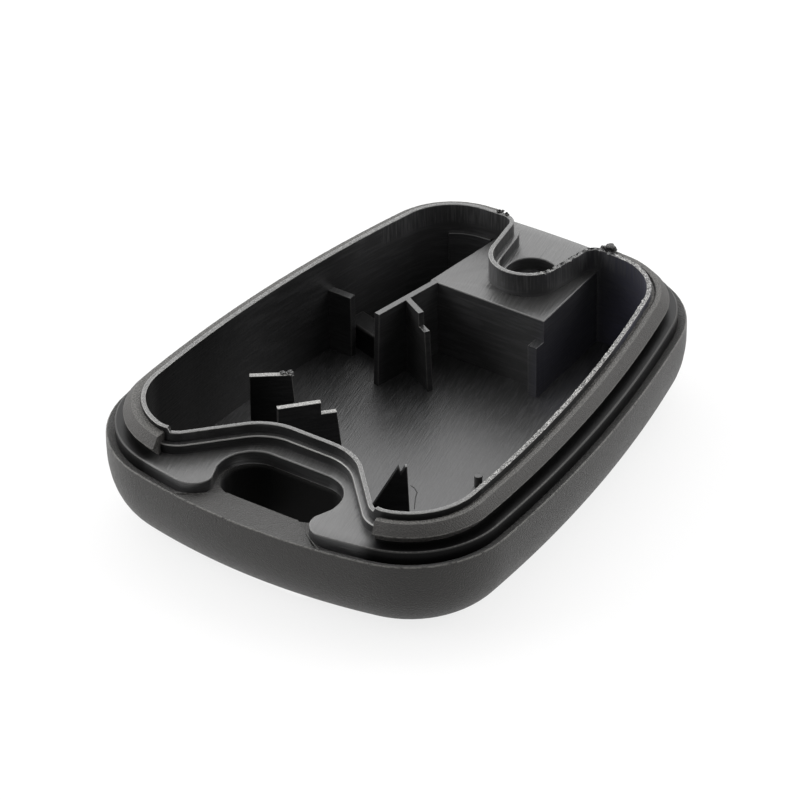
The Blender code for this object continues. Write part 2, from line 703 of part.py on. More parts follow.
def stop_block(group, material):
    """A low block across the floor between the left wall and the tee's stem."""
    front_wall_y = wall_rib_y() + WALL_RIB_THICKNESS / 2 + STOP_FROM_RIB
    corner = tee_corner()
    clear = (TEE_STEM_THICKNESS / 2 + FIT_GAP) / math.sin(-TEE_STEM_HEADING)
    points = []
    for wall_y in (front_wall_y, front_wall_y + STOP_LENGTH):
        stem_y = wall_y - STOP_SKEW
        stem_x = corner.x + (stem_y - corner.y) / math.tan(TEE_STEM_HEADING) - clear
        points += [Vector((FIT_GAP - side_x(wall_y), wall_y)), Vector((stem_x, stem_y))]
    outline = [points[0], points[1], points[3], points[2]]
    flat_solid("stop_block", outline, RIB_FOOT_LEVEL, FLOOR_LEVEL + STOP_RISE, group, material)


def floor_pip(group, material):
    """A small round pip on the floor."""
    low, high = RIB_FOOT_LEVEL, FLOOR_LEVEL + PIP_RISE
    bm = bmesh.new()
    bmesh.ops.create_cone(bm, cap_ends=True, segments=PIP_SIDES, radius1=PIP_RADIUS, radius2=PIP_RADIUS,
                          depth=high - low)
    pip = place("floor_pip", bm, group, material)
    pip.location = (PIP_FROM_MIDDLE, wave_crest_y() + PIP_FROM_WAVE, (low + high) / 2)
    smooth(pip)


def build():
    clear_scene()
    case = new_collection(CASE_NAME)
    tools = new_collection("cutters")
    matte = new_material("matte_shell_plastic", (0.016, 0.015, 0.014), 0.62)
    satin = new_material("satin_tray_plastic", (0.012, 0.012, 0.013), 0.32)
    grained = new_material("grained_band_plastic", (0.020, 0.019, 0.018), 0.7)
    screw_bore(tools)
    wall_tools(tools)
    outer_shell(case, tools, matte)
    inner_tray(case, tools, satin)
    blade_seat(case, tools, satin)
    rim_band("left_rim_band", -1, SEAT_LEFT_REAR_WIDTH + BAND_LEFT_SETBACK, case, tools, grained)
    rim_band("right_rim_band", 1, SEAT_RIGHT_REAR_WIDTH + BAND_RIGHT_SETBACK, case, tools, grained)
    side_rib(case, satin)
    stepped_rib(case, satin)
    wall_rib(case, satin)
    tee_rib(case, tools, satin)
    corner_tab(case, satin)
    notched_gusset(case, satin)
    stop_block(case, satin)
    floor_pip(case, satin)
    for tool in tools.objects:
        tool.hide_render = True
        tool.display_type = "WIRE"


build()
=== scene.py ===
"""Open lower half of a remote key case, laid out as an add-on and run as a script.

Metres, +Z up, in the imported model's frame. The pieces stand in for the solids: the tray is one moulding
with its wall, lip and floor, and the ribs, the blade seat and the rim bands are set on it.
"""

import json
import math
from typing import NamedTuple

import bmesh
import bpy
from bpy.props import FloatProperty, FloatVectorProperty, IntProperty, PointerProperty
from mathutils import Matrix, Vector, noise

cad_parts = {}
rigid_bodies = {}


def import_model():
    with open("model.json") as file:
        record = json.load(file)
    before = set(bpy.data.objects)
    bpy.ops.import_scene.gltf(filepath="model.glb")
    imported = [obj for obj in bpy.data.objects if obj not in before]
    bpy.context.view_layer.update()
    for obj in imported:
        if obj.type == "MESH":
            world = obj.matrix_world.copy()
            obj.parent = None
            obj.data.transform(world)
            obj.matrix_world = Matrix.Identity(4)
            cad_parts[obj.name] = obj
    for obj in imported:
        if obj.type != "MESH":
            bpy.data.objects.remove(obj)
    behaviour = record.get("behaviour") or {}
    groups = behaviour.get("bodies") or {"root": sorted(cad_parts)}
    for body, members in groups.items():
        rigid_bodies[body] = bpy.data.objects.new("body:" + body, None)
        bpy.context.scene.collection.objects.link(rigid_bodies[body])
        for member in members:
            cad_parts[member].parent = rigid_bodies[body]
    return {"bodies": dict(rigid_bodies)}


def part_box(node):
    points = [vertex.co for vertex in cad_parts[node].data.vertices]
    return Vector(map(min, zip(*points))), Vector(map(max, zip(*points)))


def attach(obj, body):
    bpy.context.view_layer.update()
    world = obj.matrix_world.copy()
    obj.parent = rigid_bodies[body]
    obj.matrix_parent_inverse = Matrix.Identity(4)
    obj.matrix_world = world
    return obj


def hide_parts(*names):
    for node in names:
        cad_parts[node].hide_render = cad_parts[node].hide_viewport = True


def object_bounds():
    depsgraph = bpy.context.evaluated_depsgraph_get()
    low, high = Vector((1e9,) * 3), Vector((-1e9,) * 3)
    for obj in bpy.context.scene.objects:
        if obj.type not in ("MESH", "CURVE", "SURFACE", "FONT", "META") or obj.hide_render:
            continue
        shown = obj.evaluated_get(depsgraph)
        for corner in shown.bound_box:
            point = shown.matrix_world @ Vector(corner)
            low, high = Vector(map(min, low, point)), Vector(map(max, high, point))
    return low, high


bl_info = {
    "name": "Remote key case",
    "version": (1, 0, 0),
    "blender": (4, 5, 0),
    "location": "View3D > Sidebar > Key case",
    "description": "Builds the open lower half of a remote key case and the studio round it",
    "category": "Object",
}

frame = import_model()
CAD_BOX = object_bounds()
BODY = next(iter(frame["bodies"]))


def top_of(node):
    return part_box(node)[1].z


def foot_of(node):
    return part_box(node)[0].z


# Levels of the case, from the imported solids.
FLOOR = foot_of("blade_seat")
RIM = top_of("outer_shell")
FLANGE = top_of("tee_rib")
LIP_TOP = top_of("inner_tray")
BOARD_STOP = top_of("side_rib")
BAND_TOP = top_of("left_rim_band")
TRAY_UNDERSIDE = foot_of("inner_tray")

# Outline of the basin edge, seen from above.
FRONT_CORNER = Vector((0.0109, -0.0166))
FRONT_CORNER_RADIUS = 0.0067
REAR_CORNER = Vector((0.0076, 0.0176))
REAR_CORNER_RADIUS = 0.00605
FRONT_BOW_RADIUS = 0.058
SIDE_BOW_RADIUS = 0.140
REAR_BOW_RADIUS = 0.115

# Wave wall at the front and guard wall at the rear.
SHOULDER = Vector((0.0023, -0.0224))
SHOULDER_RADIUS = 0.0061
WAVE_FOOT_ANGLE = math.radians(-85)
FOOT_ROUNDING = 0.0021
GUARD = Vector((0, 0.01947))
GUARD_RADIUS = 0.0038
GUARD_LEAN = math.radians(10)
FLARE_ROUNDING = 0.0012

# Key ring slot and its mouth.
SLOT_HALF = 0.0063
SLOT_FRONT = -0.02487
SLOT_REAR = -0.01845
SLOT_ROUND = 0.0029
MOUTH_HALF = 0.00655
MOUTH_REAR = -0.01872
MOUTH_ROUND = 0.0034
MOUTH_WAIST = 0.00645
MOUTH_WAIST_Y = -0.0229
NECK_HALF = 0.00575
NECK_Y = -0.0247
NECK_ROUND = 0.0012
LOBE_HALF = 0.0079
LOBE_Y = -0.0270
LOBE_ROUND = 0.0019
LEDGE_HALF = 0.0040
LEDGE_FOOT_HALF = 0.0086

# Blade seat and screw hole.
SEAT_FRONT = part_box("blade_seat")[0].y
SEAT_LEFT_FRONT = -0.0074
SEAT_LEFT_REAR = -0.0063
SEAT_RIGHT_FRONT = 0.0057
SEAT_RIGHT_REAR = 0.0053
SCREW = Vector((0, 0.02002))
HOLE_RADIUS = 0.00255

# A quarter turn, the spacing and numbers of points on curves, and the limits for merging and smoothing.
QUARTER = math.pi / 2
STATION = 0.00022
CIRCLE_SIDES = 72
EDGE_STEPS = 3
ROUND_STEPS = 4
MERGE = 0.0000005
SMOOTH_TURN = math.radians(32)


class Station(NamedTuple):
    """A place on a path, and the level direction away from the basin there."""

    point: Vector
    outward: Vector


class Rib(NamedTuple):
    """A rib's node, foot, heading and size. Its top runs from its far end back, as (along, level) pairs."""

    node: str
    foot: Vector
    heading: float
    thickness: float
    length: float
    top: tuple
    flare: float = 0
    draft: float = 0


def length(name, description, default):
    return FloatProperty(name=name, description=description, default=default, unit="LENGTH", precision=5)


def share(name, description, default):
    return FloatProperty(name=name, description=description, default=default, subtype="FACTOR", min=0, max=1)


def colour(name, description, default):
    return FloatVectorProperty(name=name, description=description, default=default,
                               subtype="COLOR", min=0, max=1)


def power(name, description, default):
    return FloatProperty(name=name, description=description, default=default, unit="POWER")


class CaseSizes(bpy.types.PropertyGroup):
    """Sizes of the moulding that a user may change."""

    rim_round: length("Rim rounding", "Rounding of the shell's rim", 0.00012)
    rim_width: length("Rim width", "Width of the shell's rim", 0.00097)
    rim_slope: length("Rim slope", "How far the rim drops inwards", 0.00035)
    wall_squareness: FloatProperty(name="Wall squareness", description="How boxy the bowl is", default=2.37)
    flange_offset: length("Flange", "How far the flange reaches out from the basin edge", 0.0030)
    flange_thickness: length("Flange thickness", "Thickness of the tray's plate", 0.0015)
    flange_round: length("Flange rounding", "Rounding of the plate's edges", 0.00015)
    lip: length("Lip", "Thickness of the thin lip round the basin", 0.00045)
    lip_round: length("Lip rounding", "Rounding of the lip's top", 0.00008)
    wave_drop: length("Wave drop", "How much lower the lip is over the wave wall", 0.0005)
    wave_step: length("Wave step", "Reach of the step on the wave wall", 0.00102)
    wave_step_drop: length("Wave step drop", "How far the step is under the lip's top", 0.0015)
    guard_step: length("Guard step", "Reach of the step on the guard wall", 0.00095)
    guard_step_drop: length("Guard step drop", "How far the step is under the lip's top", 0.0013)
    step_round: length("Step rounding", "Rounding of the steps' edges", 0.00012)
    band_gap: length("Band gap", "Dark line between the lip and a rim band", 0.00037)
    band_groove: length("Band groove", "Depth of the dark line under a rim band's top", 0.00025)
    band_width: length("Band width", "Width of a rim band", 0.0015)
    band_flat: length("Band flat", "Width of a rim band's flat top", 0.00055)
    band_foot: length("Band foot", "Width of a rim band's foot", 0.0006)
    edge: length("Edge", "Rounding of the ribs' edges", 0.00007)
    seat_edge: length("Seat edge", "Rounding of the blade seat's edges", 0.00014)
    flash: length("Flash", "How far the rough lip strays from its line", 0.00015)


class CaseLooks(bpy.types.PropertyGroup):
    """Colours and finish that a user may change."""

    shell: colour("Shell", "Colour of the matte outer shell", (0.012, 0.0112, 0.0102))
    tray: colour("Tray", "Colour of the satin tray", (0.013, 0.013, 0.0133))
    band: colour("Bands", "Colour of the grained rim bands", (0.024, 0.0225, 0.021))
    # Pale rubbed tops of ribs and lip, also used for painted highlights on the tray's edges and painted light
    # on its level tops.
    wear_and_highlight: colour("Rubbed and lit tops", "Colour of the rough, pale tops of ribs and lip", (0.40, 0.395, 0.38))
    # Pale line along the edges of the shell and the bands, and the bands' pale crown: partly wear, partly
    # painted highlight.
    chalk: colour("Worn and lit edges", "Colour of the pale line along the shell's rim", (0.24, 0.235, 0.22))
    # The pocket beside the seat gets this cool tint, paler than the tray; the paleness is painted light.
    cool: colour("Cool pocket", "Tint of the pocket beside the blade seat", (0.026, 0.026, 0.038))
    shell_roughness: share("Shell roughness", "Roughness of the outer shell", 0.56)
    tray_roughness: share("Tray roughness", "Roughness of the tray", 0.34)
    band_roughness: share("Band roughness", "Roughness of the rim bands", 0.62)
    grain_gloss: share("Grained gloss", "Strength of the reflections of the grained plastics", 0.38)
    sheen: share("Sheen", "Dusty sheen of the shell at a glancing view", 0.15)
    grain: length("Grain", "Size of the shell's grain", 0.00015)
    grain_depth: length("Grain depth", "Depth of the shell's grain", 0.0001)
    brush: length("Brush lines", "Width of the fine lines on the tray", 0.00015)


class StageLooks(bpy.types.PropertyGroup):
    """The floor, the light and the camera."""

    floor: colour("Floor", "Colour of the studio floor", (0.9, 0.9, 0.895))
    floor_glow: share("Floor glow", "How much of the floor the camera sees as plain white", 0.8)
    fill: FloatProperty(name="Fill", description="Strength of the light from all round", default=0.28)
    back_power: power("Back light", "Power of the softbox behind", 8.0)
    left_power: power("Left light", "Power of the left softbox", 7.0)
    right_power: power("Right light", "Power of the right softbox", 4.8)
    top_power: power("Top light", "Power of the softbox above", 0.15)
    lens: FloatProperty(name="Lens", description="Focal length", default=315, unit="CAMERA")
    seed: IntProperty(name="Seed", description="Start of the random flash and burrs", default=7)


def towards(turn):
    """The level unit vector at an angle from +X."""
    return Vector((math.cos(turn), math.sin(turn)))


def bearing(start, end):
    return math.atan2(end.y - start.y, end.x - start.x)


def arc_run(centre, radius, start, end, side=1):
    """Stations along an arc, without its last. Side 1 has the basin inside the arc, and -1 outside it."""
    pieces = max(1, math.ceil(abs(end - start) * radius / STATION))
    turns = [start + (end - start) * k / pieces for k in range(pieces)]
    return [Station(centre + radius * towards(turn), side * towards(turn)) for turn in turns]


def line_run(start, end, outward):
    pieces = max(1, math.ceil((end - start).length / STATION))
    return [Station(start.lerp(end, k / pieces), outward) for k in range(pieces)]


def both_sides(half):
    """A closed path, anticlockwise from its front middle, from the half on the +X side."""
    mirrored = [Station(Vector((-p.x, p.y)), Vector((-n.x, n.y))) for p, n in half[1:-1]]
    return half + mirrored[::-1]


def bow_centre(corner, bow_radius, corner_radius, side):
    """Centre on the Y axis of the bow that a corner arc touches from inside. Side -1 is the front."""
    return Vector((0, corner.y - side * math.sqrt((bow_radius - corner_radius) ** 2 - corner.x ** 2)))


def side_bow_centre():
    """Centre of the long side's bow, which touches both corner arcs from inside."""
    to_front = SIDE_BOW_RADIUS - FRONT_CORNER_RADIUS
    to_rear = SIDE_BOW_RADIUS - REAR_CORNER_RADIUS
    span = (REAR_CORNER - FRONT_CORNER).length
    along = (to_front ** 2 - to_rear ** 2 + span ** 2) / (2 * span)
    heading = (REAR_CORNER - FRONT_CORNER) / span
    return FRONT_CORNER + heading * along + heading.orthogonal() * math.sqrt(to_front ** 2 - along ** 2)


FRONT_BOW = bow_centre(FRONT_CORNER, FRONT_BOW_RADIUS, FRONT_CORNER_RADIUS, -1)
REAR_BOW = bow_centre(REAR_CORNER, REAR_BOW_RADIUS, REAR_CORNER_RADIUS, 1)
SIDE_BOW = side_bow_centre()
# Bearings at which one arc of the outline hands over to the next.
TURNS = (bearing(FRONT_BOW, FRONT_CORNER), bearing(SIDE_BOW, FRONT_CORNER),
         bearing(SIDE_BOW, REAR_CORNER), bearing(REAR_BOW, REAR_CORNER))


def long_side():
    """Stations of the long side and the rear corner, which the case and the basin share."""
    return (arc_run(SIDE_BOW, SIDE_BOW_RADIUS, TURNS[1], TURNS[2])
            + arc_run(REAR_CORNER, REAR_CORNER_RADIUS, TURNS[2], TURNS[3]))


def case_path():
    """The case's plain outline at the basin edge."""
    half = arc_run(FRONT_BOW, FRONT_BOW_RADIUS, -QUARTER, TURNS[0])
    half += arc_run(FRONT_CORNER, FRONT_CORNER_RADIUS, TURNS[0], TURNS[1]) + long_side()
    half += arc_run(REAR_BOW, REAR_BOW_RADIUS, TURNS[3], QUARTER)
    half.append(Station(REAR_BOW + REAR_BOW_RADIUS * towards(QUARTER), towards(QUARTER)))
    return both_sides(half)


def blend(start, heading, centre, radius, rounding, ahead):
    """Centre of the rounding between a line and the inside of an arc, ahead on the line or behind."""
    place = start + rounding * Vector((-heading.y, heading.x)) - centre
    along = place.dot(heading)
    reach = math.sqrt(along ** 2 - place.length_squared + (radius - rounding) ** 2)
    return centre + place + heading * ((reach if ahead else -reach) - along)


def basin_path():
    """The basin's edge, with the wave wall at the front and the guard wall at the rear."""
    foot = FRONT_CORNER + FRONT_CORNER_RADIUS * towards(WAVE_FOOT_ANGLE)
    turn = bearing(SHOULDER, foot) + math.acos(SHOULDER_RADIUS / (foot - SHOULDER).length)
    slope_start = SHOULDER + SHOULDER_RADIUS * towards(turn)
    heading = towards(turn - QUARTER)
    cove = blend(slope_start, heading, FRONT_CORNER, FRONT_CORNER_RADIUS, FOOT_ROUNDING, True)
    cove_turn = bearing(FRONT_CORNER, cove)
    crest = SHOULDER + SHOULDER_RADIUS * towards(QUARTER)
    half = line_run(Vector((0, crest.y)), crest, -towards(QUARTER))
    half += arc_run(SHOULDER, SHOULDER_RADIUS, QUARTER, turn, -1)
    half += line_run(slope_start, cove - FOOT_ROUNDING * towards(turn), -towards(turn))
    half += arc_run(cove, FOOT_ROUNDING, turn - math.pi, cove_turn)
    half += arc_run(FRONT_CORNER, FRONT_CORNER_RADIUS, cove_turn, TURNS[1]) + long_side()
    flank = GUARD + GUARD_RADIUS * towards(-GUARD_LEAN)
    flare = blend(flank, towards(-GUARD_LEAN - QUARTER), REAR_BOW, REAR_BOW_RADIUS, FLARE_ROUNDING, False)
    half += arc_run(REAR_BOW, REAR_BOW_RADIUS, TURNS[3], bearing(REAR_BOW, flare))
    half += arc_run(flare, FLARE_ROUNDING, bearing(REAR_BOW, flare), math.pi - GUARD_LEAN)
    half += line_run(flare - FLARE_ROUNDING * towards(-GUARD_LEAN), flank, -towards(-GUARD_LEAN))
    half += arc_run(GUARD, GUARD_RADIUS, -GUARD_LEAN, -QUARTER, -1)
    half.append(Station(GUARD + GUARD_RADIUS * towards(-QUARTER), towards(QUARTER)))
    return both_sides(half)


def offset(path, distance):
    return [station.point + station.outward * distance for station in path]


def at_level(points, height):
    return [Vector((p.x, p.y, height)) for p in points]


def round_off(before, point, after, radius):
    """Points that round a corner between the points before and after it."""
    back, on = (before - point).normalized(), (after - point).normalized()
    half_angle = back.angle(on) / 2
    centre = point + (back + on).normalized() * radius / math.sin(half_angle)
    reach = radius / math.tan(half_angle)
    start, end = bearing(centre, point + back * reach), bearing(centre, point + on * reach)
    if abs(end - start) > math.pi:
        end += math.copysign(2 * math.pi, start - end)
    return [s.point for s in arc_run(centre, radius, start, end)] + [centre + radius * towards(end)]


def rounded(corners):
    """A closed outline through corners given as (point, radius)."""
    outline = []
    for k, (point, radius) in enumerate(corners):
        before, after = corners[k - 1][0], corners[(k + 1) % len(corners)][0]
        outline += round_off(before, point, after, radius) if radius else [point]
    return outline


def mirror_corners(half):
    """Corners on both sides from those on the +X side, in the order of an anticlockwise outline."""
    return half + [(Vector((-p.x, p.y)), radius) for p, radius in reversed(half)]


def new_object(name, bm):
    """An object from a bmesh, with its doubles merged and its faces outwards."""
    bmesh.ops.remove_doubles(bm, verts=bm.verts, dist=MERGE)
    bmesh.ops.recalc_face_normals(bm, faces=bm.faces)
    mesh = bpy.data.meshes.new(name)
    bm.to_mesh(mesh)
    bm.free()
    thing = bpy.data.objects.new(name, mesh)
    bpy.context.scene.collection.objects.link(thing)
    return thing


def soften(thing):
    """Shade smooth up to a sharp turn, with normals that follow the larger faces."""
    thing.data.shade_smooth()
    thing.data.set_sharp_from_angle(angle=SMOOTH_TURN)
    modifier = thing.modifiers.new("normals", "WEIGHTED_NORMAL")
    modifier.keep_sharp = True
    settle(thing)


def loft(name, rings):
    """A solid through rings of points, closed at both ends."""
    bm = bmesh.new()
    rows = [[bm.verts.new(point) for point in ring] for ring in rings]
    for row, beside in zip(rows, rows[1:]):
        for k in range(len(row)):
            after = (k + 1) % len(row)
            bm.faces.new((row[k], row[after], beside[after], beside[k]))
    bm.faces.new(rows[0])
    bm.faces.new(rows[-1])
    return new_object(name, bm)


def inset(outline, distance):
    """A closed outline moved to its left by a distance, which is inwards on an anticlockwise one."""
    moved = []
    for k, point in enumerate(outline):
        back = (point - outline[k - 1]).normalized()
        on = (outline[(k + 1) % len(outline)] - point).normalized()
        left = Vector((-back.y, back.x)) + Vector((-on.y, on.x))
        moved.append(point + left * distance / (1 + back.dot(on)))
    return moved


def rounding(low, high, radius, steps):
    """(inset, height) pairs up a side that is rounded at its foot and its top."""
    turns = [QUARTER * k / steps for k in range(steps + 1)]
    foot = [(radius * (1 - math.sin(t)), low + radius * (1 - math.cos(t))) for t in turns]
    top = [(radius * (1 - math.cos(t)), high - radius * (1 - math.sin(t))) for t in turns]
    return foot + top


def slab(name, outlines, low, high, radius, steps=EDGE_STEPS, strip_width=0):
    """A flat solid with rounded edges. The first outline is anticlockwise, and holes run the other way.

    A strip width lays one more ring on the top, that far in from the first outline.
    """
    bm = bmesh.new()
    rims = {low: [], high: []}
    for outline in outlines:
        rows = []
        pairs = rounding(low, high, radius, steps)
        if strip_width and outline is outlines[0]:
            pairs.append((strip_width, high))
        for distance, height in pairs:
            rows.append([bm.verts.new(p) for p in at_level(inset(outline, distance), height)])
        for row, beside in zip(rows, rows[1:]):
            for k in range(len(row)):
                bm.faces.new((row[k - 1], row[k], beside[k], beside[k - 1]))
        for level, row in ((low, rows[0]), (high, rows[-1])):
            rims[level] += [bm.edges.get((row[k - 1], row[k])) for k in range(len(row))]
    for edges in rims.values():
        bmesh.ops.triangle_fill(bm, use_beauty=True, use_dissolve=False, edges=edges)
    return new_object(name, bm)


def circle(centre, radius, sides=CIRCLE_SIDES):
    return [centre + radius * towards(2 * math.pi * k / sides) for k in range(sides)]


def cut(target, tool):
    """Cut a helper solid out of another, and remove the helper."""
    modifier = target.modifiers.new("cut", "BOOLEAN")
    modifier.operation = "DIFFERENCE"
    modifier.solver = "EXACT"
    modifier.object = tool
    settle(target)
    bpy.data.objects.remove(tool)


def settle(thing):
    """Make what an object's modifiers give its plain mesh."""
    bpy.context.view_layer.update()
    evaluated = thing.evaluated_get(bpy.context.evaluated_depsgraph_get())
    mesh = bpy.data.meshes.new_from_object(evaluated)
    thing.modifiers.clear()
    thing.data = mesh


EDGE_BEND = math.radians(9)
EDGE_WIDTH = 0.00016


def mark_edges(thing, shaded):
    """Mark in red the narrow faces that round an edge, for their pale line, and in green how far a point gets
    painted shade.
    """
    bm = bmesh.new()
    bm.from_mesh(thing.data)
    layer = bm.loops.layers.float_color.new("wear")
    for face in bm.faces:
        bends = [edge.calc_face_angle_signed(0) > EDGE_BEND for edge in face.edges]
        narrow = face.calc_area() < EDGE_WIDTH * max(edge.calc_length() for edge in face.edges)
        value = float(narrow and sum(bends) > 1)
        for corner in face.loops:
            corner[layer] = (value, float(shaded(corner.vert.co)), 0, 1)
    bm.to_mesh(thing.data)
    bm.free()


def unshaded(point):
    return 0


def finish_piece(thing, material, slot, *nodes, shaded=unshaded):
    """Give a finished piece its material, its body and the solids that it stands for. Its slot is not used.
    """
    mark_edges(thing, shaded)
    thing.data.materials.clear()
    thing.data.materials.append(material)
    soften(thing)
    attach(thing, BODY)
    if nodes:
        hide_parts(*nodes)


class Wire:
    """A node's output that takes arithmetic, so that shader maths reads as an expression."""

    def __init__(self, tree, socket):
        self.tree = tree
        self.socket = socket

    def __add__(self, other):
        return self.tree.math("ADD", self, other)

    def __sub__(self, other):
        return self.tree.math("SUBTRACT", self, other)

    def __rsub__(self, other):
        return self.tree.math("SUBTRACT", other, self)

    def __mul__(self, other):
        return self.tree.math("MULTIPLY", self, other)

    def __rtruediv__(self, other):
        return self.tree.math("DIVIDE", other, self)

    __radd__ = __add__
    __rmul__ = __mul__


PLAIN_DETAIL = 2.0
FINE_DETAIL = 3.0
FINEST_DETAIL = 4.0


class Tree:
    """A node tree that is built by calls."""

    def __init__(self, nodes):
        self.nodes = nodes

    def feed(self, socket, value):
        if isinstance(value, Wire):
            self.nodes.links.new(value.socket, socket)
        else:
            socket.default_value = value

    def node(self, kind, settings, sockets, output=0):
        made = self.nodes.nodes.new(kind)
        for name, value in settings.items():
            setattr(made, name, value)
        for name, value in sockets.items():
            self.feed(made.inputs[name], value)
        return Wire(self, made.outputs[output])

    def math(self, operation, first, second):
        return self.node("ShaderNodeMath", {"operation": operation}, {0: first, 1: second})

    def noise(self, place, size, detail=PLAIN_DETAIL, stretch=(1, 1, 1), turn=0):
        """Noise with features of a size, drawn out along axes by stretch after a turn about Z."""
        sockets = {"Vector": place, "Rotation": (0, 0, turn), "Scale": stretch}
        mapped = self.node("ShaderNodeMapping", {"vector_type": "TEXTURE"}, sockets)
        return self.node("ShaderNodeTexNoise", {}, {"Vector": mapped, "Scale": 1 / size, "Detail": detail})

    def mask(self, value, start, end):
        """0 before start, 1 beyond end and smooth between, whichever of them is the lower."""
        low, high = sorted((start, end))
        sockets = {"Value": value, "From Min": low, "From Max": high}
        rising = self.node("ShaderNodeMapRange", {"interpolation_type": "SMOOTHSTEP"}, sockets)
        return rising if start < end else 1 - rising

    def larger(self, first, second):
        return self.math("MAXIMUM", first, second)

    def mix(self, factor, first, second):
        """A colour between two others."""
        first, second = (c if isinstance(c, Wire) else (*c, 1) for c in (first, second))
        return self.node("ShaderNodeMix", {"data_type": "RGBA"}, {0: factor, 6: first, 7: second}, 2)

    def axes(self, vector):
        made = self.nodes.nodes.new("ShaderNodeSeparateXYZ")
        self.feed(made.inputs[0], vector)
        return [Wire(self, output) for output in made.outputs]

    def facing(self):
        """The X, Y and Z of the direction that the surface faces."""
        return self.axes(self.node("ShaderNodeNewGeometry", {}, {}, "Normal"))

    def marks(self):
        """The mark of the narrow edge faces, and the mark of painted shade."""
        return self.axes(self.node("ShaderNodeAttribute", {"attribute_name": "wear"}, {}, "Vector"))[:2]

    def bump(self, height, distance):
        return self.node("ShaderNodeBump", {}, {"Distance": distance, "Height": height})


def new_plastic(name):
    """A material, its tree, its shader's sockets and its object coordinates."""
    material = bpy.data.materials.new(name)
    material.use_nodes = True
    tree = Tree(material.node_tree)
    sockets = material.node_tree.nodes["Principled BSDF"].inputs
    return material, tree, sockets, tree.node("ShaderNodeTexCoord", {}, {}, "Object")


def tone(shade, factor):
    """A colour made paler or darker."""
    return [min(1, channel * factor) for channel in shade]


# Grained plastics: sizes, the spans that turn noise into masks, tones and shares.
MOTTLE_GRAINS = 30
EDGE_LINE_SIZE = 0.0003
SPECKLE_SPAN = (0.35, 0.7)
EDGE_LINE_SPAN = (0.3, 0.55)
CROWN_SPAN = (0.4, 0.62)
CROWN_FACING = (0.85, 0.99)
SPECKLE_SHARE = 0.6
GRAIN_TONES = (0.5, 1.7)
HOLLOW_TONE = 0.15
HOLLOW_SMOOTHNESS = 0.9
MOTTLE_ROUGHNESS = 0.12
SPECKLE_ROUGHNESS = 0.14
SHEEN_ROUGHNESS = 0.4


def slot_hollow(tree, x, y, z):
    """1 inside the key ring slot, where hardly any light gets in."""
    along = tree.mask(y, SLOT_FRONT - 2 * LEDGE_ROUND, SLOT_FRONT - LEDGE_ROUND)
    along = along * tree.mask(y, SLOT_REAR + OVERRUN, SLOT_REAR)
    across = tree.mask(tree.math("ABSOLUTE", x, 0), SLOT_HALF + 2 * LEDGE_ROUND, SLOT_HALF + LEDGE_ROUND)
    return along * across * tree.mask(z, COLLAR_TOP, COLLAR_TOP - OVERRUN)


def matte_plastic(name, shade, roughness, looks, pale, crown, sheen):
    """Fine grained plastic with faint mottling, a broken pale line along its edges and a pale level crown,
    both partly painted light.
    """
    material, tree, sockets, place = new_plastic(name)
    hollow = slot_hollow(tree, *tree.axes(place))
    grain = tree.noise(place, looks.grain)
    mottle = tree.noise(place, MOTTLE_GRAINS * looks.grain, FINEST_DETAIL)
    speckle = tree.mask(grain, *SPECKLE_SPAN)
    mixed = SPECKLE_SHARE * speckle + (1 - SPECKLE_SHARE) * mottle
    plain = tree.mix(mixed, *(tone(shade, factor) for factor in GRAIN_TONES))
    plain = tree.mix(hollow, plain, tone(shade, HOLLOW_TONE))
    # The pale edge line is partly wear and partly painted highlight, and the crown on level faces is partly
    # pale grain and partly painted light.
    wear_and_highlight = tree.marks()[0] * tree.mask(tree.noise(place, EDGE_LINE_SIZE, FINEST_DETAIL), *EDGE_LINE_SPAN) * pale
    level = tree.mask(tree.facing()[2], *CROWN_FACING)
    wear_and_highlight = tree.larger(wear_and_highlight, level * tree.mask(grain, *CROWN_SPAN) * crown)
    tree.feed(sockets["Base Color"], tree.mix(wear_and_highlight, plain, looks.chalk))
    rough = roughness - MOTTLE_ROUGHNESS + MOTTLE_ROUGHNESS * mottle + SPECKLE_ROUGHNESS * speckle
    tree.feed(sockets["Roughness"], rough)
    tree.feed(sockets["Metallic"], hollow)
    tree.feed(sockets["Specular IOR Level"], looks.grain_gloss)
    tree.feed(sockets["Sheen Weight"], sheen)
    tree.feed(sockets["Sheen Roughness"], SHEEN_ROUGHNESS)
    tree.feed(sockets["Normal"], tree.bump(grain * (1 - HOLLOW_SMOOTHNESS * hollow), looks.grain_depth))
    return material


